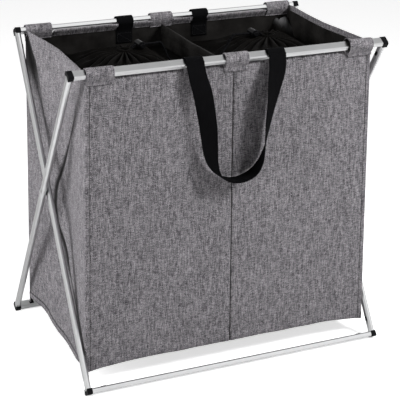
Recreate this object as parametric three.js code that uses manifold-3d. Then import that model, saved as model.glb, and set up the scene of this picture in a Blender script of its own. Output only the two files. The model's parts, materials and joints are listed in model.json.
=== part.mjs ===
// A folding laundry hamper: a cloth bag with two bins, hung in two crossed aluminium frames.
// Millimetres, +Z up, front towards -Y, origin on the floor under the middle of the hamper.

import * as THREE from 'three';
import { mergeVertices } from 'three/addons/utils/BufferGeometryUtils.js';
import Module from 'manifold-3d';

const wasm = await Module();
wasm.setup();

// Driving dimensions of the two frames.
const frameWidth = 600;
const topDepth = 320;
const bottomDepth = 382;
const rise = 561;

// The bag: the gap to the legs beside it, and the height of its bottom edge.
const bagSideGap = 5.1;
const bagLift = 36;

// The gap that pieces which touch keep, and how far a cutter passes the face that it cuts.
const fit = 0.3;
const overrun = 5;

// Sections of the tubes: rails are nearly square-cornered, legs have wide chamfers.
const railWide = 16.5;
const railThick = 9.5;
const railChamfer = 2;
const legWide = 14;
const legThick = 9;
const legChamfer = 3;
const tubeWall = 1.2;

// Corner connector: a block with one spigot in the rail and one in the leg, each with a snap lug.
const blockProud = 1;
const blockChamfer = 2.5;
const earLong = 5.5;
const archSet = 1.5;
const archRadius = 8.5;
const spigotLong = 34;
const spigotRoot = 1;
const lugLong = 8;
const lugWide = 5;
const lugProud = 0.8;
const lugReach = 24;
const footStand = 0.4;

// Pivot rivet and the washer between the legs.
const rivetRadius = 2.5;
const rivetHeadRadius = 4.5;
const rivetHeadThick = 1;
const washerRadius = 6.5;
const washerThick = 1;

// Cloth of the bag.
const panelThick = 2;
const sideThick = 1.6;
const rimDrop = 3.3;
const sideBow = 18;
const sideArch = 16;
const cornerDroop = 9;
const baseThick = 1.6;
const dividerThick = 1.6;
const dividerDrop = 12;

// Cloth loops round the top rails, and the webbing handles.
const loopThick = 1.6;
const loopWide = 49;
const loopInset = 5.5;
const cornerTail = 20;
const centreTail = 26;
const webThick = 1.6;
const webWide = 33;
const webTail = 42;
const handleSpread = 154;
const handleDrop = 214;
const hookTurn = THREE.MathUtils.degToRad(20);

// Gathered closures: collar, mouth, drawstring and cord lock.
const collarThick = 1;
const collarDrop = 54;
const mouthRise = 30;
const mouthRadius = 14;
const mouthBack = 45;
const leftMouth = -120;
const rightMouth = 168;
const cordRadius = 1.5;
const cordLift = 1.2;
const ringGap = 1;
const lockSet = 30;
const lockPlay = 20;
const lockRadius = 7;
const lockLong = 24;
const lockWall = 2;
const plungerRadius = 4.6;
const plungerPlay = 0.3;
const plungerOut = 5;
const pressTravel = 3;
const springLong = 5.4;
const springRadius = 3.4;
const springWire = 0.3;
const springTurns = 3;
const knotRadius = 4.4;
const knotLong = 12;

// What follows from the sizes above.
const tilt = Math.atan2((topDepth + bottomDepth) / 2, rise);
const topReach = topDepth / 2 / Math.sin(tilt);
const bottomReach = bottomDepth / 2 / Math.sin(tilt);
const railFoot = (railWide / 2 - railChamfer) * Math.sin(tilt) + railThick / 2 * Math.cos(tilt);
const lowRailZ = railFoot + footStand;
const topRailZ = lowRailZ + rise;
const pivotZ = lowRailZ + bottomReach * Math.cos(tilt);
const blockLong = legThick + 2 * fit;
const outerHalf = frameWidth / 2;
const innerHalf = outerHalf - legThick - washerThick - 2 * fit;
const bagHalf = innerHalf - fit - legThick - bagSideGap;
const railCornerReach = Math.max(
  Math.hypot(railWide / 2 - railChamfer, railThick / 2),
  Math.hypot(railWide / 2, railThick / 2 - railChamfer),
);
const loopInner = railCornerReach + fit;
const loopOuter = loopInner + loopThick;
const innerDepthHalf = topDepth / 2 - panelThick / 2 - fit;
const collarZ = topRailZ - collarDrop;
const mouthZ = collarZ + mouthRise;

// Finishes.
const aluminium = { color: 0xc9cbcd, roughness: 0.32, metalness: 0.95 };
const blackPlastic = { color: 0x16171a, roughness: 0.5, metalness: 0 };
const steel = { color: 0xa9abad, roughness: 0.3, metalness: 1 };
const greyCloth = { color: 0x77757a, roughness: 0.95, metalness: 0 };
const blackCloth = { color: 0x121214, roughness: 0.7, metalness: 0 };
const blackWebbing = { color: 0x17171a, roughness: 0.85, metalness: 0 };
const nylonWasher = { color: 0x2a2b2d, roughness: 0.6, metalness: 0 };

const hamper = new THREE.Group();

// Solids and shapes.

function solidOf(geometry) {
  const bare = geometry.clone();
  bare.deleteAttribute('normal');
  bare.deleteAttribute('uv');
  const merged = mergeVertices(bare);
  return new wasm.Manifold(new wasm.Mesh({
    numProp: 3,
    vertProperties: Float32Array.from(merged.attributes.position.array),
    triVerts: Uint32Array.from(merged.index.array),
  }));
}

function geometryOf(solid) {
  const mesh = solid.getMesh();
  const geometry = new THREE.BufferGeometry();
  geometry.setAttribute('position', new THREE.BufferAttribute(mesh.vertProperties, 3));
  geometry.setIndex(new THREE.BufferAttribute(mesh.triVerts, 1));
  geometry.computeVertexNormals();
  return geometry;
}

function cut(geometry, ...tools) {
  return geometryOf(tools.reduce((solid, tool) => solid.subtract(solidOf(tool)), solidOf(geometry)));
}

function join(...geometries) {
  return geometryOf(geometries.map(solidOf).reduce((whole, next) => whole.add(next)));
}

function common(a, b) {
  return geometryOf(solidOf(a).intersect(solidOf(b)));
}

function shapeOf(points) {
  return new THREE.Shape(points.map(([x, y]) => new THREE.Vector2(x, y)));
}

function chamferedPoints(wide, tall, chamfer) {
  const [x, y] = [wide / 2, tall / 2];
  return [
    [x - chamfer, -y], [x, -y + chamfer], [x, y - chamfer], [x - chamfer, y],
    [-x + chamfer, y], [-x, y - chamfer], [-x, -y + chamfer], [-x + chamfer, -y],
  ];
}

// A tube section: the outer outline with the bore as a hole, whose chamfer keeps the wall even.
function tubeShape(wide, tall, chamfer) {
  const shape = shapeOf(chamferedPoints(wide, tall, chamfer));
  const inner = chamfer - tubeWall * (2 - Math.SQRT2);
  shape.holes.push(new THREE.Path(
    shapeOf(chamferedPoints(wide - 2 * tubeWall, tall - 2 * tubeWall, inner)).getPoints(),
  ));
  return shape;
}

function upright(shape, low, high) {
  return new THREE.ExtrudeGeometry(shape, { depth: high - low, bevelEnabled: false }).translate(0, 0, low);
}

// A shape drawn in Y and Z, as wide as it is told along X.
const yzToWorld = new THREE.Matrix4().makeBasis(
  new THREE.Vector3(0, 1, 0),
  new THREE.Vector3(0, 0, 1),
  new THREE.Vector3(1, 0, 0),
);

function acrossX(shape, low, high, curveSegments = 4) {
  return new THREE.ExtrudeGeometry(shape, { depth: high - low, bevelEnabled: false, curveSegments })
    .applyMatrix4(yzToWorld)
    .translate(low, 0, 0);
}

function box(wide, deep, tall, x = 0, y = 0, z = 0) {
  return new THREE.BoxGeometry(wide, deep, tall).translate(x, y, z);
}

function rodAlongX(radius, long, segments) {
  return new THREE.CylinderGeometry(radius, radius, long, segments).rotateZ(-Math.PI / 2);
}

function turned(points, segments) {
  return new THREE.LatheGeometry(points.map(([r, y]) => new THREE.Vector2(r, y)), segments);
}

function add(group, name, geometry, finish) {
  const mesh = new THREE.Mesh(geometry, new THREE.MeshStandardMaterial(finish));
  mesh.name = name;
  group.add(mesh);
  return mesh;
}

// The frames. Each lies in the plane of its own Z, up along the legs, and Y, square to the frame.

function railTube(half) {
  const end = half - blockLong - fit;
  const holes = [-1, 1].map((side) => box(
    lugLong + 2 * fit,
    lugWide + 2 * fit,
    2 * tubeWall,
    side * (half - blockLong - lugReach),
    0,
    -railThick / 2,
  ));
  return cut(acrossX(tubeShape(railWide, railThick, railChamfer), -end, end), ...holes);
}

// The leg lies with its outer face at X = fit, and its arched ends nest in the connectors.
function legTube(facing) {
  const [low, high] = [-bottomReach + archSet, topReach - archSet];
  const arch = Math.asin(Math.min(1, (legWide / 2 + fit) / archRadius));
  const outline = new THREE.Shape();
  outline.absarc(0, high - archRadius, archRadius, Math.PI / 2 - arch, Math.PI / 2 + arch, false);
  outline.absarc(0, low + archRadius, archRadius, 1.5 * Math.PI - arch, 1.5 * Math.PI + arch, false);
  const section = tubeShape(legThick, legWide, legChamfer);
  const tube = upright(section, low - overrun, high + overrun).translate(fit + legThick / 2, 0, 0);
  const ended = common(tube, acrossX(outline, -overrun, legThick + overrun, 5));
  const lugSpots = [topReach - earLong - lugReach, -bottomReach + earLong + lugReach];
  const holes = lugSpots.map((z) => box(
    2 * tubeWall,
    lugWide + 2 * fit,
    lugLong + 2 * fit,
    fit + legThick,
    0,
    z,
  ));
  const bore = rodAlongX(rivetRadius + fit, legThick + 2 * overrun, 16).translate(legThick / 2, 0, 0);
  return cut(ended, ...holes, bore).rotateZ(facing > 0 ? Math.PI : 0);
}

function connector(foot) {
  const [wide, thick] = [railWide + 2 * blockProud, railThick + 2 * blockProud];
  const [y, top] = [wide / 2, thick / 2];
  const recess = archRadius + fit;
  const recessZ = -archSet - archRadius;
  const mouth = Math.acos(Math.min(1, (-earLong - recessZ) / recess));
  const outline = new THREE.Shape();
  outline.moveTo(-y, -earLong);
  outline.absarc(0, recessZ, recess, Math.PI / 2 + mouth, Math.PI / 2 - mouth, true);
  outline.lineTo(y, -earLong);
  outline.lineTo(y, top - blockChamfer);
  outline.lineTo(y - blockChamfer, top);
  outline.lineTo(-y + blockChamfer, top);
  outline.lineTo(-y, top - blockChamfer);
  const block = acrossX(outline, 0, blockLong, 5);

  const inset = 2 * (tubeWall + fit);
  const legRoom = rodAlongX(recess, 2 * blockLong, 40).translate(0, 0, recessZ);
  const railSpigot = cut(acrossX(
    shapeOf(chamferedPoints(railWide - inset, railThick - inset, railChamfer - fit)),
    blockLong - spigotRoot,
    blockLong + spigotLong,
  ), legRoom);
  const legSpigot = upright(
    shapeOf(chamferedPoints(legThick - inset, legWide - inset, legChamfer - fit)),
    -earLong - spigotLong,
    -archSet + spigotRoot,
  ).translate(blockLong / 2, 0, 0);

  const railLugTall = tubeWall + fit + lugProud;
  const railLug = box(
    lugLong,
    lugWide,
    railLugTall + spigotRoot,
    blockLong + lugReach,
    0,
    -railThick / 2 - lugProud + (railLugTall + spigotRoot) / 2,
  );
  const legLug = box(
    railLugTall + spigotRoot,
    lugWide,
    lugLong,
    fit + legThick + lugProud - (railLugTall + spigotRoot) / 2,
    0,
    -earLong - lugReach,
  );
  const whole = join(block, railSpigot, legSpigot, railLug, legLug);
  if (!foot) return whole;

  // The outer edge of a lower block is flat where it stands on the floor.
  const big = 4 * (blockLong + spigotLong);
  const ground = box(big, big, big, 0, 0, lowRailZ + big / 2).rotateX(-foot * tilt);
  return cut(whole, ground);
}

function frame(prefix, half) {
  const group = new THREE.Group();
  group.position.z = pivotZ;
  group.rotation.x = tilt;
  const top = add(group, `${prefix}_top_rail`, railTube(half), aluminium);
  top.position.z = topReach;
  const bottom = add(group, `${prefix}_bottom_rail`, railTube(half), aluminium);
  bottom.position.z = -bottomReach;
  bottom.rotation.x = Math.PI;
  for (const [name, side] of [['left', -1], ['right', 1]]) {
    const leg = add(group, `${prefix}_leg_${name}`, legTube(side), aluminium);
    leg.position.x = side * half;
    const high = add(group, `${prefix}_connector_top_${name}`, connector(0), blackPlastic);
    high.position.set(side * half, 0, topReach);
    if (side > 0) high.rotation.z = Math.PI;
    const low = add(group, `${prefix}_connector_bottom_${name}`, connector(-side), blackPlastic);
    low.position.set(side * half, 0, -bottomReach);
    if (side > 0) low.rotation.y = Math.PI;
    else low.rotation.x = Math.PI;
  }
  return group;
}

const outerFrame = frame('outer', outerHalf);
const innerFrame = frame('inner', innerHalf);
const turnedRound = new THREE.Group();
turnedRound.rotation.z = Math.PI;
turnedRound.add(innerFrame);
hamper.add(outerFrame, turnedRound);

// The left and right of the inner frame are named as they stand, after its half turn.
for (const mesh of innerFrame.children) {
  mesh.name = mesh.name.replace(/left|right/, (side) => (side === 'left' ? 'right' : 'left'));
}

// Rivets through both legs, and the washers that keep the legs apart.
for (const [name, side] of [['left', -1], ['right', 1]]) {
  const through = 2 * legThick + washerThick + 3 * fit;
  const rivet = turned([
    [0, -rivetHeadThick],
    [rivetHeadRadius - rivetHeadThick / 2, -rivetHeadThick],
    [rivetHeadRadius, -rivetHeadThick / 2],
    [rivetHeadRadius, 0],
    [rivetRadius, 0],
    [rivetRadius, through + fit],
    [rivetHeadRadius, through + fit],
    [rivetHeadRadius, through + fit + rivetHeadThick / 2],
    [rivetHeadRadius - rivetHeadThick / 2, through + fit + rivetHeadThick],
    [0, through + fit + rivetHeadThick],
  ], 16).rotateZ(side * Math.PI / 2);
  add(hamper, `pivot_rivet_${name}`, rivet, aluminium).position.set(side * outerHalf, 0, pivotZ);

  const washer = turned([
    [rivetRadius + fit, 0],
    [washerRadius, 0],
    [washerRadius, washerThick],
    [rivetRadius + fit, washerThick],
    [rivetRadius + fit, 0],
  ], 16).rotateZ(side * Math.PI / 2);
  const inset = legThick + 2 * fit;
  add(hamper, `pivot_washer_${name}`, washer, nylonWasher)
    .position.set(side * (outerHalf - inset), 0, pivotZ);
}

// Cloth that hangs on a top rail. It is drawn for the front and turned half round for the back.

function clothOutline(points, arcs) {
  const shape = new THREE.Shape();
  points(shape, arcs);
  return shape;
}

function loopOutline(tail) {
  const [near, far] = [panelThick / 2 + fit, panelThick / 2 + fit + loopThick];
  const out = Math.asin(far / loopOuter);
  const inn = Math.asin(near / loopInner);
  const down = -Math.PI / 2;
  return clothOutline((shape) => {
    shape.moveTo(far, -tail);
    shape.absarc(0, 0, loopOuter, down + out, 1.5 * Math.PI - out, false);
    shape.lineTo(-far, -tail);
    shape.lineTo(-near, -tail);
    shape.absarc(0, 0, loopInner, 1.5 * Math.PI - inn, down + inn, true);
    shape.lineTo(near, -tail);
  });
}

function handleTabOutline() {
  const [near, far] = [panelThick / 2 + fit, panelThick / 2 + fit + webThick];
  const outer = loopInner + webThick;
  const down = -Math.PI / 2;
  return clothOutline((shape) => {
    shape.moveTo(near, -webTail);
    shape.lineTo(far, -webTail);
    shape.absarc(0, 0, outer, down + Math.asin(far / outer), Math.PI, false);
    shape.absarc(0, 0, loopInner, Math.PI, down + Math.asin(near / loopInner), true);
  });
}

// Bends a box of cloth: every corner of the mesh is moved by the given rule.
function bent(geometry, rule) {
  const at = geometry.attributes.position;
  for (let i = 0; i < at.count; i += 1) {
    at.setXYZ(i, ...rule(at.getX(i), at.getY(i), at.getZ(i)));
  }
  return geometry;
}

// The handle hangs as one band. Its straps turn a quarter on the way down, inner edge forwards, so
// that the band lies with its width across the bottom of the U. Each row of shares is half of it:
// across, out from the panel, down, and quarter turns of the width.
const handleShares = [
  [0.97, 0.35, 0.1, 0.03],
  [0.89, 0.65, 0.22, 0.18],
  [0.82, 0.75, 0.36, 0.36],
  [0.755, 0.75, 0.5, 0.48],
  [0.71, 0.7, 0.64, 0.6],
  [0.67, 0.63, 0.76, 0.72],
  [0.58, 0.57, 0.87, 0.86],
  [0.43, 0.53, 0.945, 0.95],
  [0.23, 0.5, 0.985, 1],
  [0, 0.5, 1, 1],
];

// The band is smooth from row to row, and fine enough across that its two faces stay parallel.
const handleRowSteps = 2;
const handleColumns = 4;

function handleFrames() {
  const lap = loopInner + 1.5 * webThick + fit;
  const out = (webWide - webThick) / 2;
  const overRail = [0, 0.5, 1].map((share) => {
    const angle = Math.PI - (1 - share) * hookTurn;
    return {
      at: new THREE.Vector3(handleSpread / 2, lap * Math.cos(angle), lap * Math.sin(angle)),
      turn: 0,
    };
  });
  const hanging = handleShares.map(([across, away, down, quarters]) => ({
    at: new THREE.Vector3(across * handleSpread / 2, -lap - away * out, -down * handleDrop),
    turn: quarters * Math.PI / 2,
  }));
  const rows = [...overRail, ...hanging];
  const mirrored = rows.slice(0, -1).reverse().map(({ at, turn }) => ({
    at: at.clone().setX(-at.x),
    turn: Math.PI - turn,
  }));
  return [...rows, ...mirrored];
}

function handle() {
  const rows = handleFrames();
  const path = new THREE.CatmullRomCurve3(rows.map(({ at }) => at), false, 'centripetal');
  const twist = new THREE.CatmullRomCurve3(
    rows.map(({ turn }) => new THREE.Vector3(turn, 0, 0)),
    false,
    'catmullrom',
  );
  const steps = handleRowSteps * (rows.length - 1);
  const band = new THREE.BoxGeometry(2, 2, steps, handleColumns, 1, steps);
  return bent(band, (x, y, z) => {
    const share = THREE.MathUtils.clamp(z / steps + 0.5, 0, 1);
    const turn = twist.getPoint(share).x;
    const along = path.getTangent(share);
    const level = new THREE.Vector3(Math.cos(turn), Math.sin(turn), 0);
    const across = level.addScaledVector(along, -level.dot(along)).normalize();
    const normal = along.clone().cross(across);
    return path.getPoint(share)
      .addScaledVector(across, x * webWide / 2)
      .addScaledVector(normal, y * webThick / 2)
      .toArray();
  });
}

const panelTopZ = topRailZ - loopInner - fit;

function mainPanel() {
  const tall = panelTopZ - bagLift;
  const panel = new THREE.BoxGeometry(2 * bagHalf, panelThick, tall, 10, 1, 4);
  return bent(panel, (x, y, z) => {
    const low = 0.5 - z / tall;
    return [x, y, z - cornerDroop * low * (x / bagHalf) ** 8];
  }).translate(0, 0, panelTopZ - tall / 2);
}

for (const [place, turn] of [['front', 0], ['back', Math.PI]]) {
  const group = new THREE.Group();
  group.rotation.z = turn;
  hamper.add(group);
  const hang = new THREE.Group();
  hang.position.set(0, -topDepth / 2, topRailZ);
  group.add(hang);
  add(group, `${place}_panel`, mainPanel(), greyCloth).position.y = -topDepth / 2;

  const corner = bagHalf - loopInset - loopWide / 2;
  const sides = turn ? ['right', 'left'] : ['left', 'right'];
  for (const [name, x, tail] of [
    [sides[0], -corner, cornerTail],
    ['centre', 0, centreTail],
    [sides[1], corner, cornerTail],
  ]) {
    const loop = acrossX(loopOutline(tail), x - loopWide / 2, x + loopWide / 2, 8);
    add(hang, `${place}_loop_${name}`, loop, greyCloth);
  }
  for (const [name, side] of [[sides[0], -1], [sides[1], 1]]) {
    const x = side * handleSpread / 2;
    const tab = acrossX(handleTabOutline(), x - webWide / 2, x + webWide / 2, 6);
    add(hang, `${place}_handle_tab_${name}`, tab, blackWebbing);
  }
  add(hang, `${place}_handle`, handle(), blackWebbing);
}

// Side panels: bowed inwards between the legs, arched up at the lower edge, cut round the rails.

function bow(y) {
  return sideBow * Math.cos(Math.PI / 2 * y / innerDepthHalf) ** 2;
}

function arch(y) {
  return sideArch * Math.cos(Math.PI / 2 * y / innerDepthHalf);
}

const sideTopZ = topRailZ + rimDrop;
const depthSteps = 12;

function sidePanel(side) {
  const tall = sideTopZ - bagLift;
  const cloth = new THREE.BoxGeometry(sideThick, 2 * innerDepthHalf, tall, 1, depthSteps, 1);
  const mid = bagLift + tall / 2;
  const bowed = bent(cloth, (x, y, z) => {
    const low = 0.5 - z / tall;
    return [x + side * (bagHalf - sideThick / 2 - bow(y)), y, mid + z + low * arch(y)];
  });
  const rails = [-1, 1].map((end) => rodAlongX(loopOuter + fit, frameWidth, 20)
    .translate(0, end * topDepth / 2, topRailZ));
  return cut(bowed, ...rails);
}

add(hamper, 'left_side_panel', sidePanel(-1), greyCloth);
add(hamper, 'right_side_panel', sidePanel(1), greyCloth);

// The base lies between the panels. Its ends follow the bow and the arch of the sides.
const baseHalf = bagHalf - sideThick - fit;
const baseZ = bagLift + baseThick;
const base = bent(new THREE.BoxGeometry(2, 2 * innerDepthHalf, baseThick, 8, depthSteps, 1), (x, y, z) => [
  x * (baseHalf - bow(y)),
  y,
  z + baseZ + x ** 4 * arch(y),
]);
add(hamper, 'base_panel', base, blackCloth);

// The divider stands on the base and stops short of the loops and tails inside the panels.
const dividerLow = baseZ + baseThick / 2 + fit;
const dividerHigh = topRailZ - dividerDrop;
const dividerTall = dividerHigh - dividerLow;
const notch = loopThick + 2 * fit;
const divider = cut(
  box(dividerThick, 2 * innerDepthHalf, dividerTall, 0, 0, dividerLow + dividerTall / 2),
  ...[-1, 1].map((end) => box(
    loopWide,
    2 * notch,
    2 * (centreTail + fit),
    0,
    end * innerDepthHalf,
    topRailZ,
  )),
);
add(hamper, 'divider', divider, blackCloth);

// Gathered closures. Each collar is sewn round its bin and drawn to a mouth by its drawstring.

const collarShares = [0, 0.25, 0.45, 0.6, 0.75, 1];
const collarFlatShare = 0.25;
const collarSagShare = 0.75;

function bin(side) {
  const [near, far] = [dividerThick / 2 + fit, baseHalf];
  return {
    mouthX: side < 0 ? leftMouth : rightMouth,
    lowX: side < 0 ? -far : near,
    highX: side < 0 ? -near : far,
    side,
  };
}

// How far the collar reaches from the mouth in a direction, up to the walls of the bin.
function wallReach(cell, angle) {
  const [cx, cy] = [Math.cos(angle), Math.sin(angle)];
  const toX = cx > 0 ? (cell.highX - cell.mouthX) / cx : (cell.lowX - cell.mouthX) / cx;
  const toY = cy > 0 ? (innerDepthHalf - mouthBack) / cy : (-innerDepthHalf - mouthBack) / cy;
  return Math.min(Math.abs(toX), Math.abs(toY));
}

// Height of the collar, flat round the mouth and falling in a soft curve to the walls. Between
// two rings of folds the cloth is straight.
function ringHeight(share) {
  const fall = THREE.MathUtils.smoothstep(share, collarFlatShare, collarSagShare);
  return THREE.MathUtils.lerp(mouthZ, collarZ, fall);
}

function collarHeight(share) {
  const next = Math.max(1, collarShares.findIndex((ring) => ring >= share));
  const [low, high] = [collarShares[next - 1], collarShares[next]];
  return THREE.MathUtils.mapLinear(share, low, high, ringHeight(low), ringHeight(high));
}

function collar(side) {
  const cell = bin(side);
  const profile = [
    ...collarShares.map((share) => [1 + share, -collarThick / 2]),
    ...collarShares.slice().reverse().map((share) => [1 + share, collarThick / 2]),
    [1, -collarThick / 2],
  ];
  return bent(turned(profile, 32).rotateX(Math.PI / 2), (x, y, z) => {
    const angle = Math.atan2(y, x);
    const share = Math.hypot(x, y) - 1;
    const reach = THREE.MathUtils.lerp(mouthRadius, wallReach(cell, angle), share);
    const py = mouthBack + reach * Math.sin(angle);
    const limit = Math.abs(cell.side < 0 ? cell.lowX : cell.highX) - bow(py) - fit;
    const px = THREE.MathUtils.clamp(cell.mouthX + reach * Math.cos(angle), -limit, limit);
    return [px, py, z + collarHeight(share)];
  });
}

function clothTop(cell, x, y) {
  const [dx, dy] = [x - cell.mouthX, y - mouthBack];
  const reach = wallReach(cell, Math.atan2(dy, dx));
  const share = (Math.hypot(dx, dy) - mouthRadius) / (reach - mouthRadius);
  return collarHeight(THREE.MathUtils.clamp(share, 0, 1)) + collarThick / 2;
}

// A cord is a plain eight-sided tube along its route.
function cordTube(points, steps) {
  const section = new THREE.Shape();
  section.absarc(0, 0, cordRadius, 0, 2 * Math.PI, false);
  return new THREE.ExtrudeGeometry(section, {
    extrudePath: new THREE.CatmullRomCurve3(points, false, 'centripetal'),
    steps,
    curveSegments: 4,
  });
}

const lockZ = mouthZ + collarThick / 2 + fit + lockRadius;
const ringRadius = mouthRadius - ringGap - cordRadius;
const ringOpening = THREE.MathUtils.degToRad(25);
const strandOff = cordRadius + fit;
const leadEnd = lockSet - lockRadius - lockWall;

// The drawstring's tail as it lies on the collar, past the lock: X along the lock's way, Y to its
// left, both from the middle of the mouth. The two strands run side by side to a knot.
const leftTail = [
  [70, 0], [86, -8], [97, -26], [101, -52], [99, -82], [93, -112], [82, -138], [64, -156],
  [38, -165], [6, -168], [-28, -168], [-60, -167], [-84, -165],
];
const rightTail = [
  [70, 0], [88, 6], [104, 20], [116, 42], [121, 68], [119, 96], [110, 122], [94, 143],
  [72, 157], [44, 164], [12, 167], [-20, 168], [-46, 166],
];

function strandPoints(cell, heading, tail, off) {
  const flight = [leadEnd + fit, lockSet, lockSet + lockRadius + lockWall + lockPlay]
    .map((x) => [x, off, lockZ]);
  const turnedAt = (x, y) => [
    cell.mouthX + heading * x,
    mouthBack + heading * y,
  ];
  const lying = tail.map(([x, y], i) => {
    const [px, py] = tail[Math.max(i - 1, 0)];
    const [nx, ny] = tail[Math.min(i + 1, tail.length - 1)];
    const long = Math.hypot(nx - px, ny - py);
    const [sx, sy] = [x - (ny - py) / long * off, y + (nx - px) / long * off];
    const [wx, wy] = turnedAt(sx, sy);
    const rest = clothTop(cell, wx, wy) + cordRadius + cordLift;
    return [wx, wy, i === 0 ? lockZ : rest];
  });
  return [
    ...flight.map(([x, y, z]) => [...turnedAt(x, y), z]),
    ...lying,
  ].map((p) => new THREE.Vector3(...p));
}

// The part of the cord inside the hem of the mouth, whose two ends rise out of it to the lock.
const leadShares = [[0.12, 0.62, 0.16], [0.3, 0.3, 0.42], [0.52, 0.1, 0.74], [0.78, 0, 0.96], [1, 0, 1]];

function ringPoints(cell, heading) {
  const turns = 20;
  const [endX, endY] = [ringRadius * Math.cos(ringOpening), ringRadius * Math.sin(ringOpening)];
  const lead = (side) => leadShares.map(([along, spread, lift]) => [
    THREE.MathUtils.lerp(endX, leadEnd, along),
    side * THREE.MathUtils.lerp(strandOff, endY, spread),
    THREE.MathUtils.lerp(mouthZ, lockZ, lift),
  ]);
  const round = Array.from({ length: turns + 1 }, (_, i) => {
    const angle = THREE.MathUtils.lerp(ringOpening, 2 * Math.PI - ringOpening, i / turns);
    return [ringRadius * Math.cos(angle), ringRadius * Math.sin(angle), mouthZ];
  });
  return [...lead(1).reverse(), ...round, ...lead(-1)].map(([x, y, z]) => new THREE.Vector3(
    cell.mouthX + heading * x,
    mouthBack + heading * y,
    z,
  ));
}

// Cord lock: a barrel and a sprung plunger with one slot through both for the two strands.
const slotLong = 4 * strandOff + fit;
const slotTall = 2 * (cordRadius + fit);
const boreRadius = plungerRadius + plungerPlay;
const slotMiddle = lockWall + fit + springLong + fit + lockWall + slotLong / 2;

function lockBody() {
  const rim = lockWall / 2;
  const barrel = turned([
    [0, 0],
    [lockRadius - rim, 0],
    [lockRadius, rim],
    [lockRadius, lockLong - rim],
    [lockRadius - rim, lockLong],
    [boreRadius, lockLong],
    [boreRadius, lockWall],
    [0, lockWall],
  ], 16);
  return cut(barrel, box(2 * lockRadius + overrun, slotLong, slotTall, 0, slotMiddle, 0));
}

function lockPlunger() {
  const low = lockWall + fit + springLong + fit;
  const high = lockLong + plungerOut;
  const rim = lockWall / 2;
  const plunger = turned([
    [0, low],
    [plungerRadius, low],
    [plungerRadius, high - rim],
    [plungerRadius - rim, high],
    [0, high],
  ], 16);
  const slot = box(
    2 * lockRadius,
    slotLong + pressTravel,
    slotTall,
    0,
    slotMiddle + pressTravel / 2,
    0,
  );
  return cut(plunger, slot);
}

function lockSpring() {
  const steps = 8 * springTurns;
  const low = lockWall + fit + springWire;
  const high = low + springLong - 2 * springWire;
  const points = Array.from({ length: steps + 1 }, (_, i) => {
    const turn = 2 * Math.PI * springTurns * i / steps;
    return new THREE.Vector3(
      springRadius * Math.cos(turn),
      THREE.MathUtils.lerp(low, high, i / steps),
      springRadius * Math.sin(turn),
    );
  });
  const section = new THREE.Shape();
  section.absarc(0, 0, springWire, 0, 2 * Math.PI, false);
  return new THREE.ExtrudeGeometry(section, {
    extrudePath: new THREE.CatmullRomCurve3(points),
    steps,
    curveSegments: 3,
  });
}

for (const [name, side, heading, tail] of [['left', -1, 1, leftTail], ['right', 1, -1, rightTail]]) {
  const cell = bin(side);
  add(hamper, `${name}_collar`, collar(side), blackCloth);
  add(hamper, `${name}_drawstring_ring`, cordTube(ringPoints(cell, heading), 32), blackWebbing);
  const strands = [['inner', strandOff], ['outer', -strandOff]].map(([which, off]) => {
    const points = strandPoints(cell, heading, tail, off);
    add(hamper, `${name}_drawstring_${which}`, cordTube(points, 50), blackWebbing);
    return points;
  });

  const ends = strands.map((points) => points.slice(-2));
  const end = ends[0][1].clone().add(ends[1][1]).multiplyScalar(0.5);
  const before = ends[0][0].clone().add(ends[1][0]).multiplyScalar(0.5);
  const way = end.clone().sub(before).setZ(0).normalize();
  const waist = knotRadius * 0.8;
  const knot = turned([
    [0, 0],
    [waist, 0],
    [knotRadius, knotLong / 4],
    [waist, knotLong / 2],
    [knotRadius, 3 * knotLong / 4],
    [waist, knotLong],
    [0, knotLong],
  ], 10).rotateZ(-Math.PI / 2);
  const knotMesh = add(hamper, `${name}_cord_knot`, knot, blackWebbing);
  knotMesh.position.copy(end).addScaledVector(way, fit);
  knotMesh.position.z += knotRadius - cordRadius;
  knotMesh.rotation.z = Math.atan2(way.y, way.x);

  const lock = new THREE.Group();
  lock.position.set(cell.mouthX + heading * lockSet, mouthBack, lockZ);
  lock.rotation.z = Math.PI;
  hamper.add(lock);
  const parts = new THREE.Group();
  parts.position.y = -slotMiddle;
  lock.add(parts);
  add(parts, `${name}_cord_lock`, lockBody(), blackPlastic);
  add(parts, `${name}_lock_button`, lockPlunger(), blackPlastic);
  add(parts, `${name}_lock_spring`, lockSpring(), steel);
}

export default hamper;
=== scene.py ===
import json
from math import acos, atan2, cos, exp, hypot, pi, radians, sin, sqrt, tau

import bmesh
import bpy
from mathutils import Matrix, Vector, noise

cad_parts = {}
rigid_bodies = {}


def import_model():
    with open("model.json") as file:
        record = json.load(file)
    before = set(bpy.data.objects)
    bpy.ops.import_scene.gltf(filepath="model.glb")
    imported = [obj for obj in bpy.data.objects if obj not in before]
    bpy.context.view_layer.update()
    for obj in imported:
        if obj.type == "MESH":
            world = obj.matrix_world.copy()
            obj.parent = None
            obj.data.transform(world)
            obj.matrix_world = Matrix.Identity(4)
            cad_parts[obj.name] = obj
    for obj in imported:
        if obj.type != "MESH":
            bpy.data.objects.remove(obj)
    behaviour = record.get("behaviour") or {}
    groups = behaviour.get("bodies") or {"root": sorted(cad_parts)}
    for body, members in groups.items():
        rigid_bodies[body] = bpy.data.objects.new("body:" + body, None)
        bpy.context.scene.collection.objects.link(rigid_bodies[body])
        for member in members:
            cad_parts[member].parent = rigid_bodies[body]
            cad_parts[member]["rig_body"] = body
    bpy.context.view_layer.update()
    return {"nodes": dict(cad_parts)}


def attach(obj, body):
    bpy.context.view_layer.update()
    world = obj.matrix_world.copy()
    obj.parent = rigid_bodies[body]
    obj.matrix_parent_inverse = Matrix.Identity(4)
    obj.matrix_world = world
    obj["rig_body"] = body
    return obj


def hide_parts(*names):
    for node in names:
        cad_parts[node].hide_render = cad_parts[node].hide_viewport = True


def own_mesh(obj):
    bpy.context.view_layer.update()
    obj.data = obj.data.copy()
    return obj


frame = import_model()
nodes = frame["nodes"]

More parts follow.
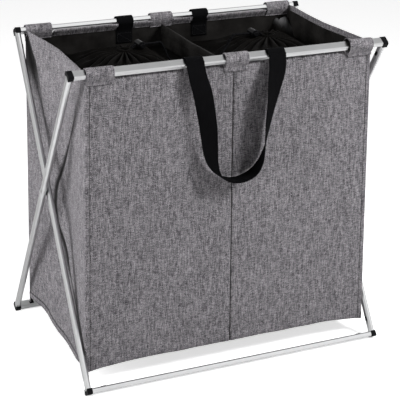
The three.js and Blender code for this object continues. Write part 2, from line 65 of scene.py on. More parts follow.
# Camera. It looks at the hamper from its front left and a little above, through a long lens that keeps the
# uprights nearly parallel.
azimuth, elevation, roll = (radians(angle) for angle in (-24.42, 19.29, 0.52))
away = Vector((
    sin(azimuth) * cos(elevation),
    -cos(azimuth) * cos(elevation),
    sin(elevation),
))
level_right = (-away).cross(Vector((0, 0, 1))).normalized()
level_up = level_right.cross(-away)
camera_right = level_right * cos(roll) + level_up * sin(roll)
camera_up = level_up * cos(roll) - level_right * sin(roll)
camera_place = Vector((-0.98967, -2.20367, 1.18109))
camera_axes = Matrix((camera_right, camera_up, away)).transposed()
camera = bpy.data.objects.new("camera", bpy.data.cameras.new("camera"))
camera.matrix_world = Matrix.LocRotScale(camera_place, camera_axes, None)
camera.data.sensor_width = 36
camera.data.lens = 124.1
camera.data.shift_x = -0.0005
camera.data.shift_y = -0.1026
bpy.context.scene.collection.objects.link(camera)
bpy.context.scene.camera = camera
bpy.context.scene.view_settings.view_transform = "Standard"


# Studio. A wide pale floor under a soft key lamp at the right front, a wide fill at the left and a soft lamp
# overhead. In gloss the lamps are out of sight. White walls, a grey ceiling and a bright card towards the key
# lamp stand for them there.
def maths_of(operation, swapped=False):
    """A method that adds one Math node, of the reading itself and any other values."""
    return lambda self, *others: self.maths(operation, *((*others, self) if swapped else (self, *others)))


class Reading:
    """A value that changes over a surface. A sum with it adds Math nodes."""

    def __init__(self, nodes_of, socket):
        self.nodes_of = nodes_of
        self.socket = socket

    def maths(self, operation, *values):
        return self.nodes_of.node("Math", {"operation": operation}, dict(enumerate(values)))["Value"]

    __add__, __radd__ = maths_of("ADD"), maths_of("ADD", True)
    __sub__, __rsub__ = maths_of("SUBTRACT"), maths_of("SUBTRACT", True)
    __mul__, __rmul__ = maths_of("MULTIPLY"), maths_of("MULTIPLY", True)
    __truediv__, __pow__, __mod__ = maths_of("DIVIDE"), maths_of("POWER"), maths_of("FLOORED_MODULO")
    __gt__, or_more = maths_of("GREATER_THAN"), maths_of("MAXIMUM")
    whole, rest, sine = maths_of("FLOOR"), maths_of("FRACT"), maths_of("SINE")


class Nodes:
    """A node tree, and the one way in which nodes come into it."""

    def __init__(self, tree):
        self.tree = tree

    def fill(self, node, values):
        for key, value in values.items():
            found = node.inputs[key] if isinstance(key, int) else next(
                socket for socket in node.inputs if socket.enabled and socket.name == key
            )
            if isinstance(value, Reading):
                self.tree.links.new(value.socket, found)
            else:
                found.default_value = value

    def node(self, kind, settings=None, values=None):
        node = self.tree.nodes.new("ShaderNode" + kind)
        for key, value in (settings or {}).items():
            if key == "stops":
                stops = node.color_ramp.elements
                while len(stops) < len(value):
                    stops.new(0.5)
                for stop, (place, colour) in zip(stops, value):
                    stop.position = place
                    stop.color = (*colour, 1)
            else:
                setattr(node, key, value)
        self.fill(node, values or {})
        return {socket.name: Reading(self, socket) for socket in node.outputs if socket.enabled}

    def noise(self, where, scale, detail=2, roughness=0.5):
        return self.node("TexNoise", {}, {
            "Vector": where, "Scale": scale, "Detail": detail, "Roughness": roughness,
        })["Fac"]

    def vector(self, x, y, z=0):
        return self.node("CombineXYZ", {}, {"X": x, "Y": y, "Z": z})["Vector"]

    def ramp(self, value, *stops):
        return self.node("ValToRGB", {"stops": stops}, {"Fac": value})["Color"]

    def blend(self, share, first, second):
        return self.node("Mix", {"data_type": "RGBA", "clamp_factor": True}, {
            "Factor": share, "A": first, "B": second,
        })["Result"]


class Finish(Nodes):
    """A material: what is the same all over it goes straight on its shader's sockets."""

    def __init__(self, name, **same):
        self.material = bpy.data.materials.new(name)
        self.material.use_nodes = True
        super().__init__(self.material.node_tree)
        self.shader = self.tree.nodes["Principled BSDF"]
        self.surface(**same)

    def surface(self, **changing):
        self.fill(self.shader, {key.replace("_", " "): value for key, value in changing.items()})

    def relief(self, height, strength, distance):
        self.surface(Normal=self.node("Bump", {}, {
            "Height": height, "Strength": strength, "Distance": distance,
        })["Normal"])

    def cloth_place(self):
        """The place on the cloth, in metres across and along it."""
        place = self.node("UVMap", {"uv_map": "cloth"})["UV"]
        parts = self.node("SeparateXYZ", {}, {"Vector": place})
        return parts["X"], parts["Y"]


def make_piece(name, points, faces, finishes, places=None, which=None):
    mesh = bpy.data.meshes.new(name)
    mesh.from_pydata([tuple(point) for point in points], [], faces)
    for finish in finishes:
        mesh.materials.append(finish.material)
    if which:
        mesh.polygons.foreach_set("material_index", which)
    if places:
        layer = mesh.uv_layers.new(name="cloth")
        for loop in mesh.loops:
            layer.data[loop.index].uv = places[loop.vertex_index]
    mesh.update()
    mesh.shade_smooth()
    piece = bpy.data.objects.new(name, mesh)
    bpy.context.scene.collection.objects.link(piece)
    return piece


def full_turn(sides):
    return [tau * i / sides for i in range(sides)]


def round_at(turn, radius):
    """A place on a circle."""
    return radius * cos(turn), radius * sin(turn)


floor_radius, floor_sides = 14, 64
floor_glow = 0.66
floor_paint = Finish("floor_paint", Base_Color=(0.86, 0.86, 0.86, 1), Roughness=0.9, Emission_Strength=1)
glow = floor_paint.node("LightPath")["Is Camera Ray"] * floor_glow
floor_paint.surface(Emission_Color=floor_paint.vector(glow, glow, glow))
rim = [(*round_at(turn, floor_radius), 0) for turn in full_turn(floor_sides)]
floor = make_piece("floor", rim, [list(range(floor_sides))], [floor_paint])

world = bpy.data.worlds.new("studio")
world.use_nodes = True
bpy.context.scene.world = world
walls = Nodes(world.node_tree)
seen = walls.node("LightPath")
eye_or_gloss = seen["Is Camera Ray"].or_more(seen["Is Glossy Ray"]).or_more(seen["Is Transmission Ray"])
wall_light, ceiling_gloss, card_gloss = 0.15, 0.52, 0.75
card_edge, card_full = 0.86, 0.97
wall_top, ceiling_low = 0.12, 0.45
key_place = Vector((1.1, -1.3, 1.62))
way = walls.node("TexCoord")["Generated"]
height = walls.node("SeparateXYZ", {}, {"Vector": way})["Z"]
to_card = walls.node("VectorMath", {"operation": "DOT_PRODUCT"}, {0: way, 1: key_place.normalized()})["Value"]


def soft_step(value, low, high, start, end):
    return walls.node("MapRange", {"interpolation_type": "SMOOTHSTEP"}, {
        "Value": value, "From Min": low, "From Max": high, "To Min": start, "To Max": end,
    })["Result"]


card = soft_step(to_card, card_edge, card_full, 0.0, card_gloss)
ceiling = soft_step(height, wall_top, ceiling_low, 1.0, ceiling_gloss)
walls.fill(walls.tree.nodes["Background"], {
    "Strength": eye_or_gloss * (ceiling + card) + (1 - eye_or_gloss) * wall_light,
    "Color": (1, 1, 1, 1),
})

lamp_aim = Vector((0, 0, 0.3))


def lamp(name, place, across, share):
    """A square soft lamp. Its share is how bright it alone makes a white surface that faces it."""
    place = Vector(place)
    light = bpy.data.lights.new(name, "AREA")
    light.size = across
    light.energy = share * pi ** 2 * (place - lamp_aim).length ** 2
    made = bpy.data.objects.new(name, light)
    made.location = place
    made.rotation_mode = "QUATERNION"
    made.rotation_quaternion = (place - lamp_aim).to_track_quat("Z", "Y")
    made.visible_camera = False
    made.visible_glossy = False
    bpy.context.scene.collection.objects.link(made)


lamp("key_lamp", key_place, 0.5, 0.92)
lamp("left_lamp", (-2.3, -0.2, 1.0), 1.5, 0.98)
lamp("top_lamp", (0.1, 0.1, 2.2), 1.4, 0.2)


# Drawstrings. Each bin's collar is drawn to a small mouth by one braided cord. It runs round the hem of the
# mouth, both ends pass through a sprung lock, lie side by side on the collar and end in one knot.
collar_thick = 0.001
collar_z, mouth_z = 0.514742, 0.544742
mouth_radius, mouth_back = 0.014, 0.045
inner_depth_half, base_half = 0.1587, 0.2731
collar_shares = (0, 0.25, 0.45, 0.6, 0.75, 1)
bins = {
    "left": {"mouth_x": -0.120, "low_x": -base_half, "high_x": -0.0011, "heading": 1},
    "right": {"mouth_x": 0.168, "low_x": 0.0011, "high_x": base_half, "heading": -1},
}
cord_radius, cord_lift = 0.0015, 0.0012
strand_off = 0.0018
lock_z = 0.552542
lead_end = 0.021
ring_radius, ring_opening = 0.0115, radians(25)
flight = (0.0213, 0.030, 0.059)
tails = {
    "left": (
        (0.070, 0), (0.086, -0.008), (0.097, -0.026), (0.101, -0.052), (0.099, -0.082), (0.093, -0.112),
        (0.082, -0.138), (0.064, -0.156), (0.038, -0.165), (0.006, -0.168), (-0.028, -0.168),
        (-0.060, -0.167), (-0.084, -0.165),
    ),
    "right": (
        (0.070, 0), (0.088, 0.006), (0.104, 0.020), (0.116, 0.042), (0.121, 0.068), (0.119, 0.096),
        (0.110, 0.122), (0.094, 0.143), (0.072, 0.157), (0.044, 0.164), (0.012, 0.167), (-0.020, 0.168),
        (-0.046, 0.166),
    ),
}
# How far each place of a cord's way from the hem to its lock is out, apart and up.
lead_shares = ((0.12, 0.62, 0.16), (0.3, 0.3, 0.42), (0.52, 0.1, 0.74), (0.78, 0, 0.96), (1, 0, 1))


def eased(value, low, high):
    share = min(max((value - low) / (high - low), 0), 1)
    return share * share * (3 - 2 * share)


def mixed(low, high, share):
    return low + (high - low) * share


def steps(low, high, count):
    return [mixed(low, high, i / count) for i in range(count + 1)]


def wall_reach(cell, angle):
    """How far a bin's walls are from the middle of its mouth, in a direction."""
    cx, cy = round_at(angle, 1)
    wall_x = cell["high_x"] if cx > 0 else cell["low_x"]
    wall_y = inner_depth_half if cy > 0 else -inner_depth_half
    to_x = abs((wall_x - cell["mouth_x"]) / cx) if abs(cx) > 1e-9 else 9
    to_y = abs((wall_y - mouth_back) / cy) if abs(cy) > 1e-9 else 9
    return min(to_x, to_y)


def collar_height(share):
    """The collar is flat round the mouth and falls to the walls, straight between its rings of folds."""
    following = max(1, next((i for i, ring in enumerate(collar_shares) if ring >= share), 5))
    low, high = collar_shares[following - 1], collar_shares[following]
    low_z, high_z = (mixed(mouth_z, collar_z, eased(ring, 0.25, 0.75)) for ring in (low, high))
    return mixed(low_z, high_z, (share - low) / (high - low))


def collar_top(cell, x, y):
    dx, dy = x - cell["mouth_x"], y - mouth_back
    reach = wall_reach(cell, atan2(dy, dx))
    share = (hypot(dx, dy) - mouth_radius) / (reach - mouth_radius)
    return collar_height(min(max(share, 0), 1)) + collar_thick / 2


def smooth_route(points, per_span, power=0.5):
    """A smooth line through points, centripetal at power 0.5 and even at power 0."""
    ends = [points[0] * 2 - points[1], *points, points[-1] * 2 - points[-2]]
    route = []
    for i in range(1, len(ends) - 2):
        near = ends[i - 1:i + 3]
        longs = [(b - a).length for a, b in zip(near, near[1:])]
        gaps = [long ** power if long > 1e-9 or not power else 0 for long in longs]
        gaps[1] = gaps[1] or 1
        gaps[0], gaps[2] = gaps[0] or gaps[1], gaps[2] or gaps[1]
        t = [0, gaps[0], gaps[0] + gaps[1], sum(gaps)]
        for at in steps(t[1], t[2], per_span)[:-1]:
            level = near
            for spans in (((0, 1), (1, 2), (2, 3)), ((0, 2), (1, 3)), ((1, 2),)):
                level = [
                    a * ((t[high] - at) / (t[high] - t[low])) + b * ((at - t[low]) / (t[high] - t[low]))
                    for a, b, (low, high) in zip(level, level[1:], spans)
                ]
            route.append(level[0])
    return [*route, points[-1]]


def ring_quads(rings, sides, start=0, inward=False):
    """The faces between closed rings of points that follow each other."""
    quads = []
    for i in range(rings - 1):
        for k in range(sides):
            a, b = start + i * sides + k, start + i * sides + (k + 1) % sides
            quads.append((a, a + sides, b + sides, b) if inward else (a, b, b + sides, a + sides))
    return quads


def followed(line):
    """Each place on a line, the way that it runs there and how far along it is."""
    walked, last = 0, len(line) - 1
    for i, place in enumerate(line):
        walked += (place - line[i - 1]).length if i else 0
        yield place, (line[min(i + 1, last)] - line[max(i - 1, 0)]).normalized(), walked


cord_sides = 10
cap_wide, cap_long = 0.6, 0.5


def tube(name, route, radius, finish):
    """A round cord along a route, with blunt ends."""
    points, places = [], []
    across = (route[1] - route[0]).normalized().orthogonal().normalized()
    turns = full_turn(cord_sides)
    for centre, way, walked in followed(route):
        across = (across - way * across.dot(way)).normalized()
        upward = way.cross(across)
        points += [centre + (across * cos(turn) + upward * sin(turn)) * radius for turn in turns]
        places += [(turn * radius, walked) for turn in turns]
    faces = ring_quads(len(route), cord_sides)
    for end, inward in ((0, 1), (len(route) - 1, -1)):
        ring = range(end * cord_sides, (end + 1) * cord_sides)
        inner = range(len(points), len(points) + cord_sides)
        cap = (route[end] - route[end + inward]).normalized() * radius * cap_long
        points += [route[end] + (points[k] - route[end]) * cap_wide + cap for k in ring]
        places += [places[k] for k in ring]
        following = [(k + 1) % cord_sides for k in range(cord_sides)]
        quads = [(ring[k], ring[after], inner[after], inner[k]) for k, after in enumerate(following)]
        faces += [face[::-inward] for face in (*quads, tuple(inner))]
    return make_piece(name, points, faces, [finish], places)


# The braid shows as fine diagonal plaits on a soft black sheath.
black_cord = Finish("black_cord", Roughness=0.7, Specular_IOR_Level=0.04)
plait_wide, plait_long = 0.0009, 0.0022
across, along = black_cord.cloth_place()
left_plait = (across / plait_wide + along / plait_long).sine()
right_plait = (across / plait_wide - along / plait_long).sine()
plait = left_plait * right_plait * 0.5 + 0.5
plait_dark, plait_light = (0.0015, 0.0015, 0.0018), (0.008, 0.008, 0.009)
black_cord.surface(Base_Color=black_cord.ramp(plait, (0, plait_dark), (1, plait_light)))
black_cord.relief(plait, 0.6, 0.0004)


def settle(pieces, body, node, keep=None):
    """The pieces ride on a body, and the first stands for a solid, whose node is hidden. With keep they are
    cloth or cord between the front and the back, and each gets its own copy of its mesh."""
    for piece in pieces:
        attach(piece, body)
        if keep:
            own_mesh(piece)
    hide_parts(node)


def turned_at(cell, x, y, z):
    """A place in a bin, from the middle of its mouth, along its strands' way out and across it."""
    return Vector((cell["mouth_x"] + cell["heading"] * x, mouth_back + cell["heading"] * y, z))


cloth_keep, cord_keep = 0.131, 0.107
knot_wind, knot_turns, knot_long, knot_steps = 0.0029, 3, 0.012, 60
cut_radius = 0.9 * cord_radius
for name, cell in bins.items():
    end_x, end_y = round_at(ring_opening, ring_radius)
    leads = {side: [] for side in (1, -1)}
    for side, lead in leads.items():
        for out, spread, lift in lead_shares:
            apart = side * mixed(strand_off, end_y, spread)
            lead.append(turned_at(cell, mixed(end_x, lead_end, out), apart, mixed(mouth_z, lock_z, lift)))
    hem_turns = steps(ring_opening, tau - ring_opening, 20)
    round_hem = [turned_at(cell, *round_at(turn, ring_radius), mouth_z) for turn in hem_turns]
    hem_route = smooth_route([*reversed(leads[1]), *round_hem, *leads[-1]], 4)
    hem_cord = tube(f"{name}_cord_in_hem", hem_route, cord_radius, black_cord)
    settle([hem_cord], "drawn_mouths", f"{name}_drawstring_ring")

    tail = tails[name]
    ends, strands = [], []
    for which, off in (("inner", strand_off), ("outer", -strand_off)):
        points = [turned_at(cell, x, off, lock_z) for x in flight]
        for i, (x, y) in enumerate(tail):
            (px, py), (nx, ny) = tail[max(i - 1, 0)], tail[min(i + 1, len(tail) - 1)]
            long = hypot(nx - px, ny - py)
            place = turned_at(cell, x - (ny - py) / long * off, y + (nx - px) / long * off, lock_z)
            if i:
                place.z = collar_top(cell, place.x, place.y) + cord_radius + cord_lift
            points.append(place)
        route = smooth_route(points, 10)
        strand = tube(f"{name}_strand_{which}", route, cord_radius, black_cord)
        settle([strand], "bag_front", f"{name}_drawstring_{which}", cord_keep)
        ends.append(points[-2:])
        strands.append((strand, route))

    # The knot: both strands wound together, pulled tight, with their sealed ends just out of it.
    end = (ends[0][1] + ends[1][1]) / 2
    before = (ends[0][0] + ends[1][0]) / 2
    way = end - before
    way.z = 0
    way.normalize()
    aside = Vector((-way.y, way.x, 0))
    start = end + way * 0.0003 + Vector((0, 0, knot_wind))
    winding = []
    for i in range(knot_steps + 1):
        turn = -pi / 2 + knot_turns * tau * i / knot_steps
        centre = start + way * (cord_radius + (knot_long - 2 * cord_radius) * i / knot_steps)
        winding.append(centre + (aside * cos(turn) + Vector((0, 0, 1)) * sin(turn)) * knot_wind)
    knot = tube(f"{name}_knot", winding, cord_radius, black_cord)
    core = (
        (0.0009 * cell["heading"], -0.0003, 0), (0.0008, knot_long / 2, 0),
        (0.0013, knot_long + 0.002, 0.0006), (0.0024, knot_long + 0.007, 0.0012),
    )
    cut_ends = []
    for which, off in (("inner", 1), ("outer", -1)):
        route = [start + aside * off * out + way * ahead - Vector((0, 0, low)) for out, ahead, low in core]
        cut_ends.append(tube(f"{name}_cut_end_{which}", smooth_route(route, 6), cut_radius, black_cord))
    settle([knot, *cut_ends], "cord_knots", f"{name}_cord_knot")
    for i, (strand, route) in enumerate(strands):
        tuple(route[0])
        [tuple(point) for point in route]


# Tubes of the two frames. Drawn aluminium, satin anodised, with fine lines along it from the die. Rails are
# nearly square-cornered, legs have wide chamfers, and the lugs of the corners snap into their slots.
def dressed(node, finish, edge, sharp_over=25):
    """The solid of a node with its edges broken, as a piece that stands for it."""
    shell = bmesh.new()
    shell.from_mesh(nodes[node].data)
    bmesh.ops.remove_doubles(shell, verts=shell.verts, dist=1e-6)
    bmesh.ops.dissolve_limit(shell, angle_limit=radians(1), verts=shell.verts, edges=shell.edges)
    corners = [
        side for side in shell.edges
        if len(side.link_faces) == 2 and side.calc_face_angle(0) > radians(sharp_over)
    ]
    bmesh.ops.bevel(
        shell, geom=corners, offset=edge, segments=2, profile=0.5, affect="EDGES", clamp_overlap=True,
    )
    mesh = bpy.data.meshes.new(f"{node}_dressed")
    shell.to_mesh(mesh)
    shell.free()
    mesh.materials.clear()
    mesh.materials.append(finish.material)
    mesh.polygons.foreach_set("material_index", [0] * len(mesh.polygons))
    mesh.shade_smooth()
    mesh.set_sharp_from_angle(angle=radians(38))
    piece = bpy.data.objects.new(f"{node}_dressed", mesh)
    bpy.context.scene.collection.objects.link(piece)
    piece.modifiers.new("even_shade", "WEIGHTED_NORMAL").keep_sharp = True
    settle([piece], nodes[node]["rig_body"], node)


def drawn_aluminium(name, axis):
    finish = Finish(name, Metallic=1)
    place = finish.node("TexCoord")["Object"]
    along = finish.node("VectorMath", {"operation": "DOT_PRODUCT"}, {0: place, 1: axis})["Value"]
    ahead = finish.node("VectorMath", {"operation": "SCALE"}, {0: axis, "Scale": along * 0.985})["Vector"]
    flat = finish.node("VectorMath", {"operation": "SUBTRACT"}, {0: place, 1: ahead})["Vector"]
    lines = finish.noise(flat, 2600, detail=3, roughness=0.7)
    cloudy = finish.noise(place, 28, detail=3)
    scuffed = finish.noise(place, 420, detail=4, roughness=0.75)
    finish.surface(
        Base_Color=finish.ramp(
            lines * 0.6 + cloudy * 0.4, (0.3, (0.64, 0.645, 0.65)), (0.7, (0.79, 0.795, 0.80)),
        ),
        Roughness=0.24 + 0.14 * cloudy + 0.1 * (scuffed > 0.66),
    )
    finish.relief(lines, 0.12, 0.00008)
    return finish


tilt = radians(32.0329)
rail_aluminium = drawn_aluminium("rail_aluminium", (1, 0, 0))
leg_aluminium = {
    "outer": drawn_aluminium("outer_leg_aluminium", (0, -sin(tilt), cos(tilt))),
    "inner": drawn_aluminium("inner_leg_aluminium", (0, sin(tilt), cos(tilt))),
}
tube_edge = 0.0006
for which in ("outer", "inner"):
    for rail in ("top_rail", "bottom_rail"):
        dressed(f"{which}_{rail}", rail_aluminium, tube_edge)
    for leg in ("leg_left", "leg_right"):
        dressed(f"{which}_{leg}", leg_aluminium[which], tube_edge)


# Corner connectors. Moulded black nylon with a fine spark-eroded grain, a little shiny on the broken edges.
# Each joins a rail and a leg with a spigot in both.
def mottled(name, scale, detail, dark, light, rough=None, coarse=0.5, light_at=0.7, **same):
    """A finish with one noise in its colour and, with a least value and a span, in its roughness."""
    finish = Finish(name, **same)
    marks = finish.noise(finish.node("TexCoord")["Object"], scale, detail, coarse)
    finish.surface(Base_Color=finish.ramp(marks, (0.3, dark), (light_at, light)))
    if rough:
        finish.surface(Roughness=rough[0] + rough[1] * marks)
    return finish


black_plastic = mottled(
    "black_plastic", 60, 4, (0.0025, 0.0025, 0.003), (0.006, 0.006, 0.007), (0.36, 0.2),
    coarse=0.65, light_at=0.75, Specular_IOR_Level=0.09,
)
grain = black_plastic.noise(black_plastic.node("TexCoord")["Object"], 2400)
black_plastic.relief(grain, 0.25, 0.0001)
for which in ("outer", "inner"):
    for level in ("top", "bottom"):
        for side in ("left", "right"):
            dressed(f"{which}_connector_{level}_{side}", black_plastic, 0.0005)

# Pivots. An aluminium rivet joins each pair of legs, with a nylon washer between them. The rivet's heads are
# satin, and the washer is black.
rivet_metal = mottled(
    "rivet_metal", 900, 3, (0.62, 0.62, 0.63), (0.80, 0.80, 0.81), (0.28, 0.16), coarse=0.7, Metallic=1,
)
nylon = mottled("nylon", 300, 3, (0.018, 0.018, 0.02), (0.04, 0.04, 0.042), (0.45, 0.2))
for side in ("left", "right"):
    dressed(f"pivot_rivet_{side}", rivet_metal, 0.0003)
    dressed(f"pivot_washer_{side}", nylon, 0.0002)


# Front and back of the bag. A stiff grey linen-look cloth, lined in black, in two halves joined by a seam in
# the middle. The side edges are folded and topstitched, the foot has a hem, and the cloth hangs from loops.
half_turn = Matrix.Rotation(pi, 4, "Z")


def square_to(first, second, otherwise):
    """The unit vector at right angles to two others, or another one where those run together."""
    normal = first.cross(second)
    return normal.normalized() if normal.length > 1e-12 else Vector(otherwise)


class Cloth:
    """Sewn cloth as a closed sheet, from rows of points on its middle and their places on the flat cut."""

    def __init__(self, rows, places, thick, outward):
        self.rows, self.places = rows, places
        self.high, self.wide = len(rows), len(rows[0])
        self.half = thick / 2
        self.normals = []
        for i, row in enumerate(rows):
            above, below = rows[max(i - 1, 0)], rows[min(i + 1, self.high - 1)]
            self.normals.append([
                square_to(row[min(j + 1, self.wide - 1)] - row[max(j - 1, 0)], below[j] - above[j], outward)
                for j in range(self.wide)
            ])
        middle = self.normals[self.high // 2][self.wide // 2]
        self.flip = -1 if middle.dot(Vector(outward)) < 0 else 1

    def turn_round(self):
        self.rows = [[half_turn @ point for point in row] for row in self.rows]
        self.normals = [[half_turn @ normal for normal in row] for row in self.normals]

    def face_point(self, i, j, proud):
        return self.rows[i][j] + self.normals[i][j] * self.flip * (self.half + proud)

    def run(self, cells, proud):
        """A line for stitches on the outer face."""
        return [(self.face_point(i, j, proud), self.normals[i][j] * self.flip) for i, j in cells]

    def row_run(self, i, margin, proud):
        return self.run([(i, j) for j in range(margin, self.wide - margin)], proud)

    def sewn(self, name, finishes, relief=lambda i, j: 0, lined=lambda i, j: 1, faced=lambda i, j: 0):
        """Relief is how far the outer face stands proud. Lined and faced tell the inner and outer finish."""
        high, wide = self.high, self.wide
        cells = [(i, j) for i in range(high) for j in range(wide)]
        outer = [self.face_point(i, j, relief(i, j)) for i, j in cells]
        inner = [self.face_point(i, j, -2 * self.half) for i, j in cells]
        places = [self.places[i][j] for i, j in cells]
        count = len(cells)
        faces, which = [], []
        for i in range(high - 1):
            for j in range(wide - 1):
                a, b = i * wide + j, i * wide + j + 1
                c, d = b + wide, a + wide
                faces += [(d, c, b, a), (a + count, b + count, c + count, d + count)]
                which += [faced(i, j), lined(i, j)]
        edge = [
            *range(wide),
            *range(2 * wide - 1, count, wide),
            *range(count - 2, count - wide - 1, -1),
            *range(count - 2 * wide, 0, -wide),
        ]
        faces += [(a, b, b + count, a + count) for a, b in zip(edge, [*edge[1:], edge[0]])]
        which += [0] * len(edge)
        faces = [face[::self.flip] for face in faces]
        return make_piece(name, [*outer, *inner], faces, finishes, [*places, *places], which)


def spaced(low, high, step, *extra):
    """Even places from low to high, with extra ones where the cloth has a seam or a fold."""
    even = steps(low, high, max(1, round((high - low) / step)))
    kept = [place for place in even[1:-1] if all(abs(place - other) > step * 0.4 for other in extra)]
    return sorted({low, high, *kept, *extra})


def nearest(values, target):
    return min(range(len(values)), key=lambda i: abs(values[i] - target))


def paced(run, pitch):
    """The same line, with a place for each stitch."""
    marks, walked, due = [], 0.0, 0.0
    for (a, out), (b, _) in zip(run, run[1:]):
        long = (b - a).length
        while due <= walked + long:
            marks.append((a.lerp(b, (due - walked) / long), out))
            due += pitch
        walked += long
    return marks


stitch_long, stitch_wide, stitch_pitch = 0.0030, 0.00055, 0.0042


def stitches(name, runs, finish, pitch=stitch_pitch, proud=0.0003):
    """Rows of sewn stitches along runs of (place, outward) pairs."""
    points, faces = [], []
    for run in runs:
        marks = paced(run, pitch)
        for (here, out), (there, _) in zip(marks, marks[1:]):
            middle, way = (here + there) / 2, (there - here).normalized()
            aside = out.cross(way).normalized()
            a, b, right, left, top_a, top_b, under = range(len(points), len(points) + 7)
            half, beside = way * stitch_long / 2, aside * stitch_wide / 2
            points += [
                middle - half - out * proud, middle + half - out * proud, middle + beside, middle - beside,
                middle + out * proud - half / 2, middle + out * proud + half / 2, middle - out * proud,
            ]
            faces += [
                (a, right, top_a), (right, b, top_b), (right, top_b, top_a), (a, top_a, left),
                (left, top_b, b), (left, top_a, top_b), (a, under, right), (under, b, right),
                (a, left, under), (left, b, under),
            ]
    return make_piece(name, points, faces, [finish], [(0, 0)] * len(points))


# Grey cloth: a plain weave of slubby light and dark yarns.
yarn = 0.0015
warp_slub, weft_slub = 0.016, 0.007
grey_cloth = Finish("grey_cloth", Sheen_Weight=0.05, Sheen_Roughness=0.5, Specular_IOR_Level=0.15)
across, along = grey_cloth.cloth_place()
warp, weft = across / yarn, along / yarn
over = (warp.whole() + weft.whole()) % 2
apart = 7.31
warp_place = grey_cloth.vector(warp.whole() * apart, along / warp_slub, 3.7)
weft_place = grey_cloth.vector(across / weft_slub, weft.whole() * apart, 9.1)
warp_tone = grey_cloth.noise(warp_place, 1, detail=2, roughness=0.55)
weft_tone = grey_cloth.noise(weft_place, 1, detail=2, roughness=0.55)
tone = over * warp_tone + (1 - over) * weft_tone
patchy = grey_cloth.noise(grey_cloth.vector(across, along, 1), 22, detail=3)
warp_round = 1 - (warp.rest() * 2 - 1) ** 2
weft_round = 1 - (weft.rest() * 2 - 1) ** 2
yarn_height = over * warp_round + (1 - over) * weft_round
weave = grey_cloth.ramp(
    tone + (patchy - 0.5) * 0.03,
    (0.30, (0.030, 0.029, 0.032)),
    (0.42, (0.100, 0.095, 0.103)),
    (0.52, (0.184, 0.175, 0.187)),
    (0.66, (0.34, 0.322, 0.34)),
)
# The crease attribute blends the weave to near black: painted shade in the side panels' creases, fold and
# foot hem.
creased = grey_cloth.node("Attribute", {"attribute_name": "crease"})["Fac"]
grey_cloth.surface(
    Base_Color=grey_cloth.blend(creased, weave, (0.008, 0.0075, 0.008, 1)),
    Roughness=0.82 + 0.12 * tone,
)
grey_cloth.relief(yarn_height * (0.6 + 0.8 * tone), 0.55, 0.0004)


# Lining: thin black taffeta with a dull shine and soft creases; in the collars duller, and darker as painted
# shade.
def taffeta(name, dark, light, shine):
    finish = Finish(name, Specular_IOR_Level=shine)
    across, along = finish.cloth_place()
    fine = 0.0006
    fine_weave = ((across / fine).sine() * (along / fine).sine()) * 0.5 + 0.5
    creased = finish.noise(finish.vector(across, along, 4), 26, detail=4, roughness=0.6)
    # caught_light blends the colour to light grey: a painted highlight on the bunched collar cloth.
    caught = finish.node("Attribute", {"attribute_name": "caught_light"})["Fac"]
    plain = finish.ramp(creased, (0.3, dark), (0.7, light))
    finish.surface(
        Base_Color=finish.blend(caught * (0.2 + 1.6 * creased), plain, (0.20, 0.20, 0.205, 1)),
        Roughness=0.42 + 0.22 * creased,
    )
    finish.relief(creased * 0.9 + fine_weave * 0.02, 0.5, 0.006)
    return finish


black_lining = taffeta("black_lining", (0.0065, 0.0061, 0.0058), (0.0185, 0.0174, 0.0165), 0.08)
# The collars' darker colours are painted shade on the same taffeta.
collar_lining = taffeta("collar_lining", (0.0016, 0.0015, 0.0014), (0.0055, 0.0050, 0.0046), 0.025)

grey_thread = mottled("grey_thread", 1800, 2, (0.07, 0.069, 0.073), (0.16, 0.158, 0.165), Roughness=0.7)
black_thread = mottled("black_thread", 1800, 2, (0.01, 0.01, 0.011), (0.03, 0.03, 0.032), Roughness=0.6)

bag_half, panel_low = 0.2750, 0.036
top_less, low_more, bag_tall = 0.0055, 0.0034, 0.524
panel_y, panel_thick = -0.160, 0.002
panel_top, rail_z = 0.559442, 0.568742
corner_droop = 0.009
edge_fold, hem_deep = 0.0085, 0.011
hem_inside = 0.0058
tuck_low, tuck_in, tuck_ease = 0.0067, 0.0112, 0.001
tucks = ((-0.2216, -0.0925), (-0.0616, -0.0183), (0.0233, 0.0616), (0.0925, 0.2216))


def bag_half_at(z):
    """The bag is a little wider at its foot, where it hangs free, than at its rim."""
    return bag_half + mixed(low_more, -top_less, min(max((z - panel_low) / bag_tall, 0), 1))


def lumps(x, y, z):
    """Smooth noise from about -1 to 1."""
    return noise.noise(Vector((x, y, z)))


def hill(value, wide):
    """1 at 0, less to both sides."""
    return exp(-(value / wide) ** 2)


def panel_swell(x, z):
    """How far the front cloth stands from its plane: slack between the loops and over the seam."""
    fade = eased(z, panel_low - 0.01, panel_low + 0.05) * (1 - eased(z, panel_top - 0.05, panel_top - 0.01))
    fade *= 1 - eased(abs(x), bag_half - 0.03, bag_half - 0.004)
    loose = 0.0030 * lumps(x * 7, 1.3, z * 2.6) + 0.0012 * lumps(x * 19, 5.1, z * 4.5)
    return fade * (loose - 0.0008 * hill(x, 0.030))


def tuck_at(x):
    """The top edge curls in under the rail between the loops and the ends of the handle."""
    return sum(
        eased(x, low - tuck_ease, low + tuck_ease) * (1 - eased(x, high - tuck_ease, high + tuck_ease))
        for low, high in tucks
    )


def panel_place(x, share):
    """A place on the front cloth: it droops at the corners, ripples at the foot and curls in at the tucks."""
    z = panel_top - panel_tall * share - corner_droop * share * (x / bag_half) ** 8
    z += 0.0014 * share ** 6 * lumps(x * 24, 2.2, 0)
    y = panel_y - panel_swell(x, z)
    to_edge = max(0.0, (abs(x) - (bag_half - 0.005)) / 0.005)
    y += 0.0016 * to_edge ** 2
    curled = max(0, 1 - panel_tall * share / tuck_low)
    up = rail_z + mixed(-0.016, -0.0015, curled)
    tuck = tuck_at(x) * (curled > 0)
    return Vector((
        x * bag_half_at(z) / bag_half,
        y + tuck * tuck_in * eased(up - rail_z, -0.017, -0.001),
        mixed(z, up, tuck),
    ))


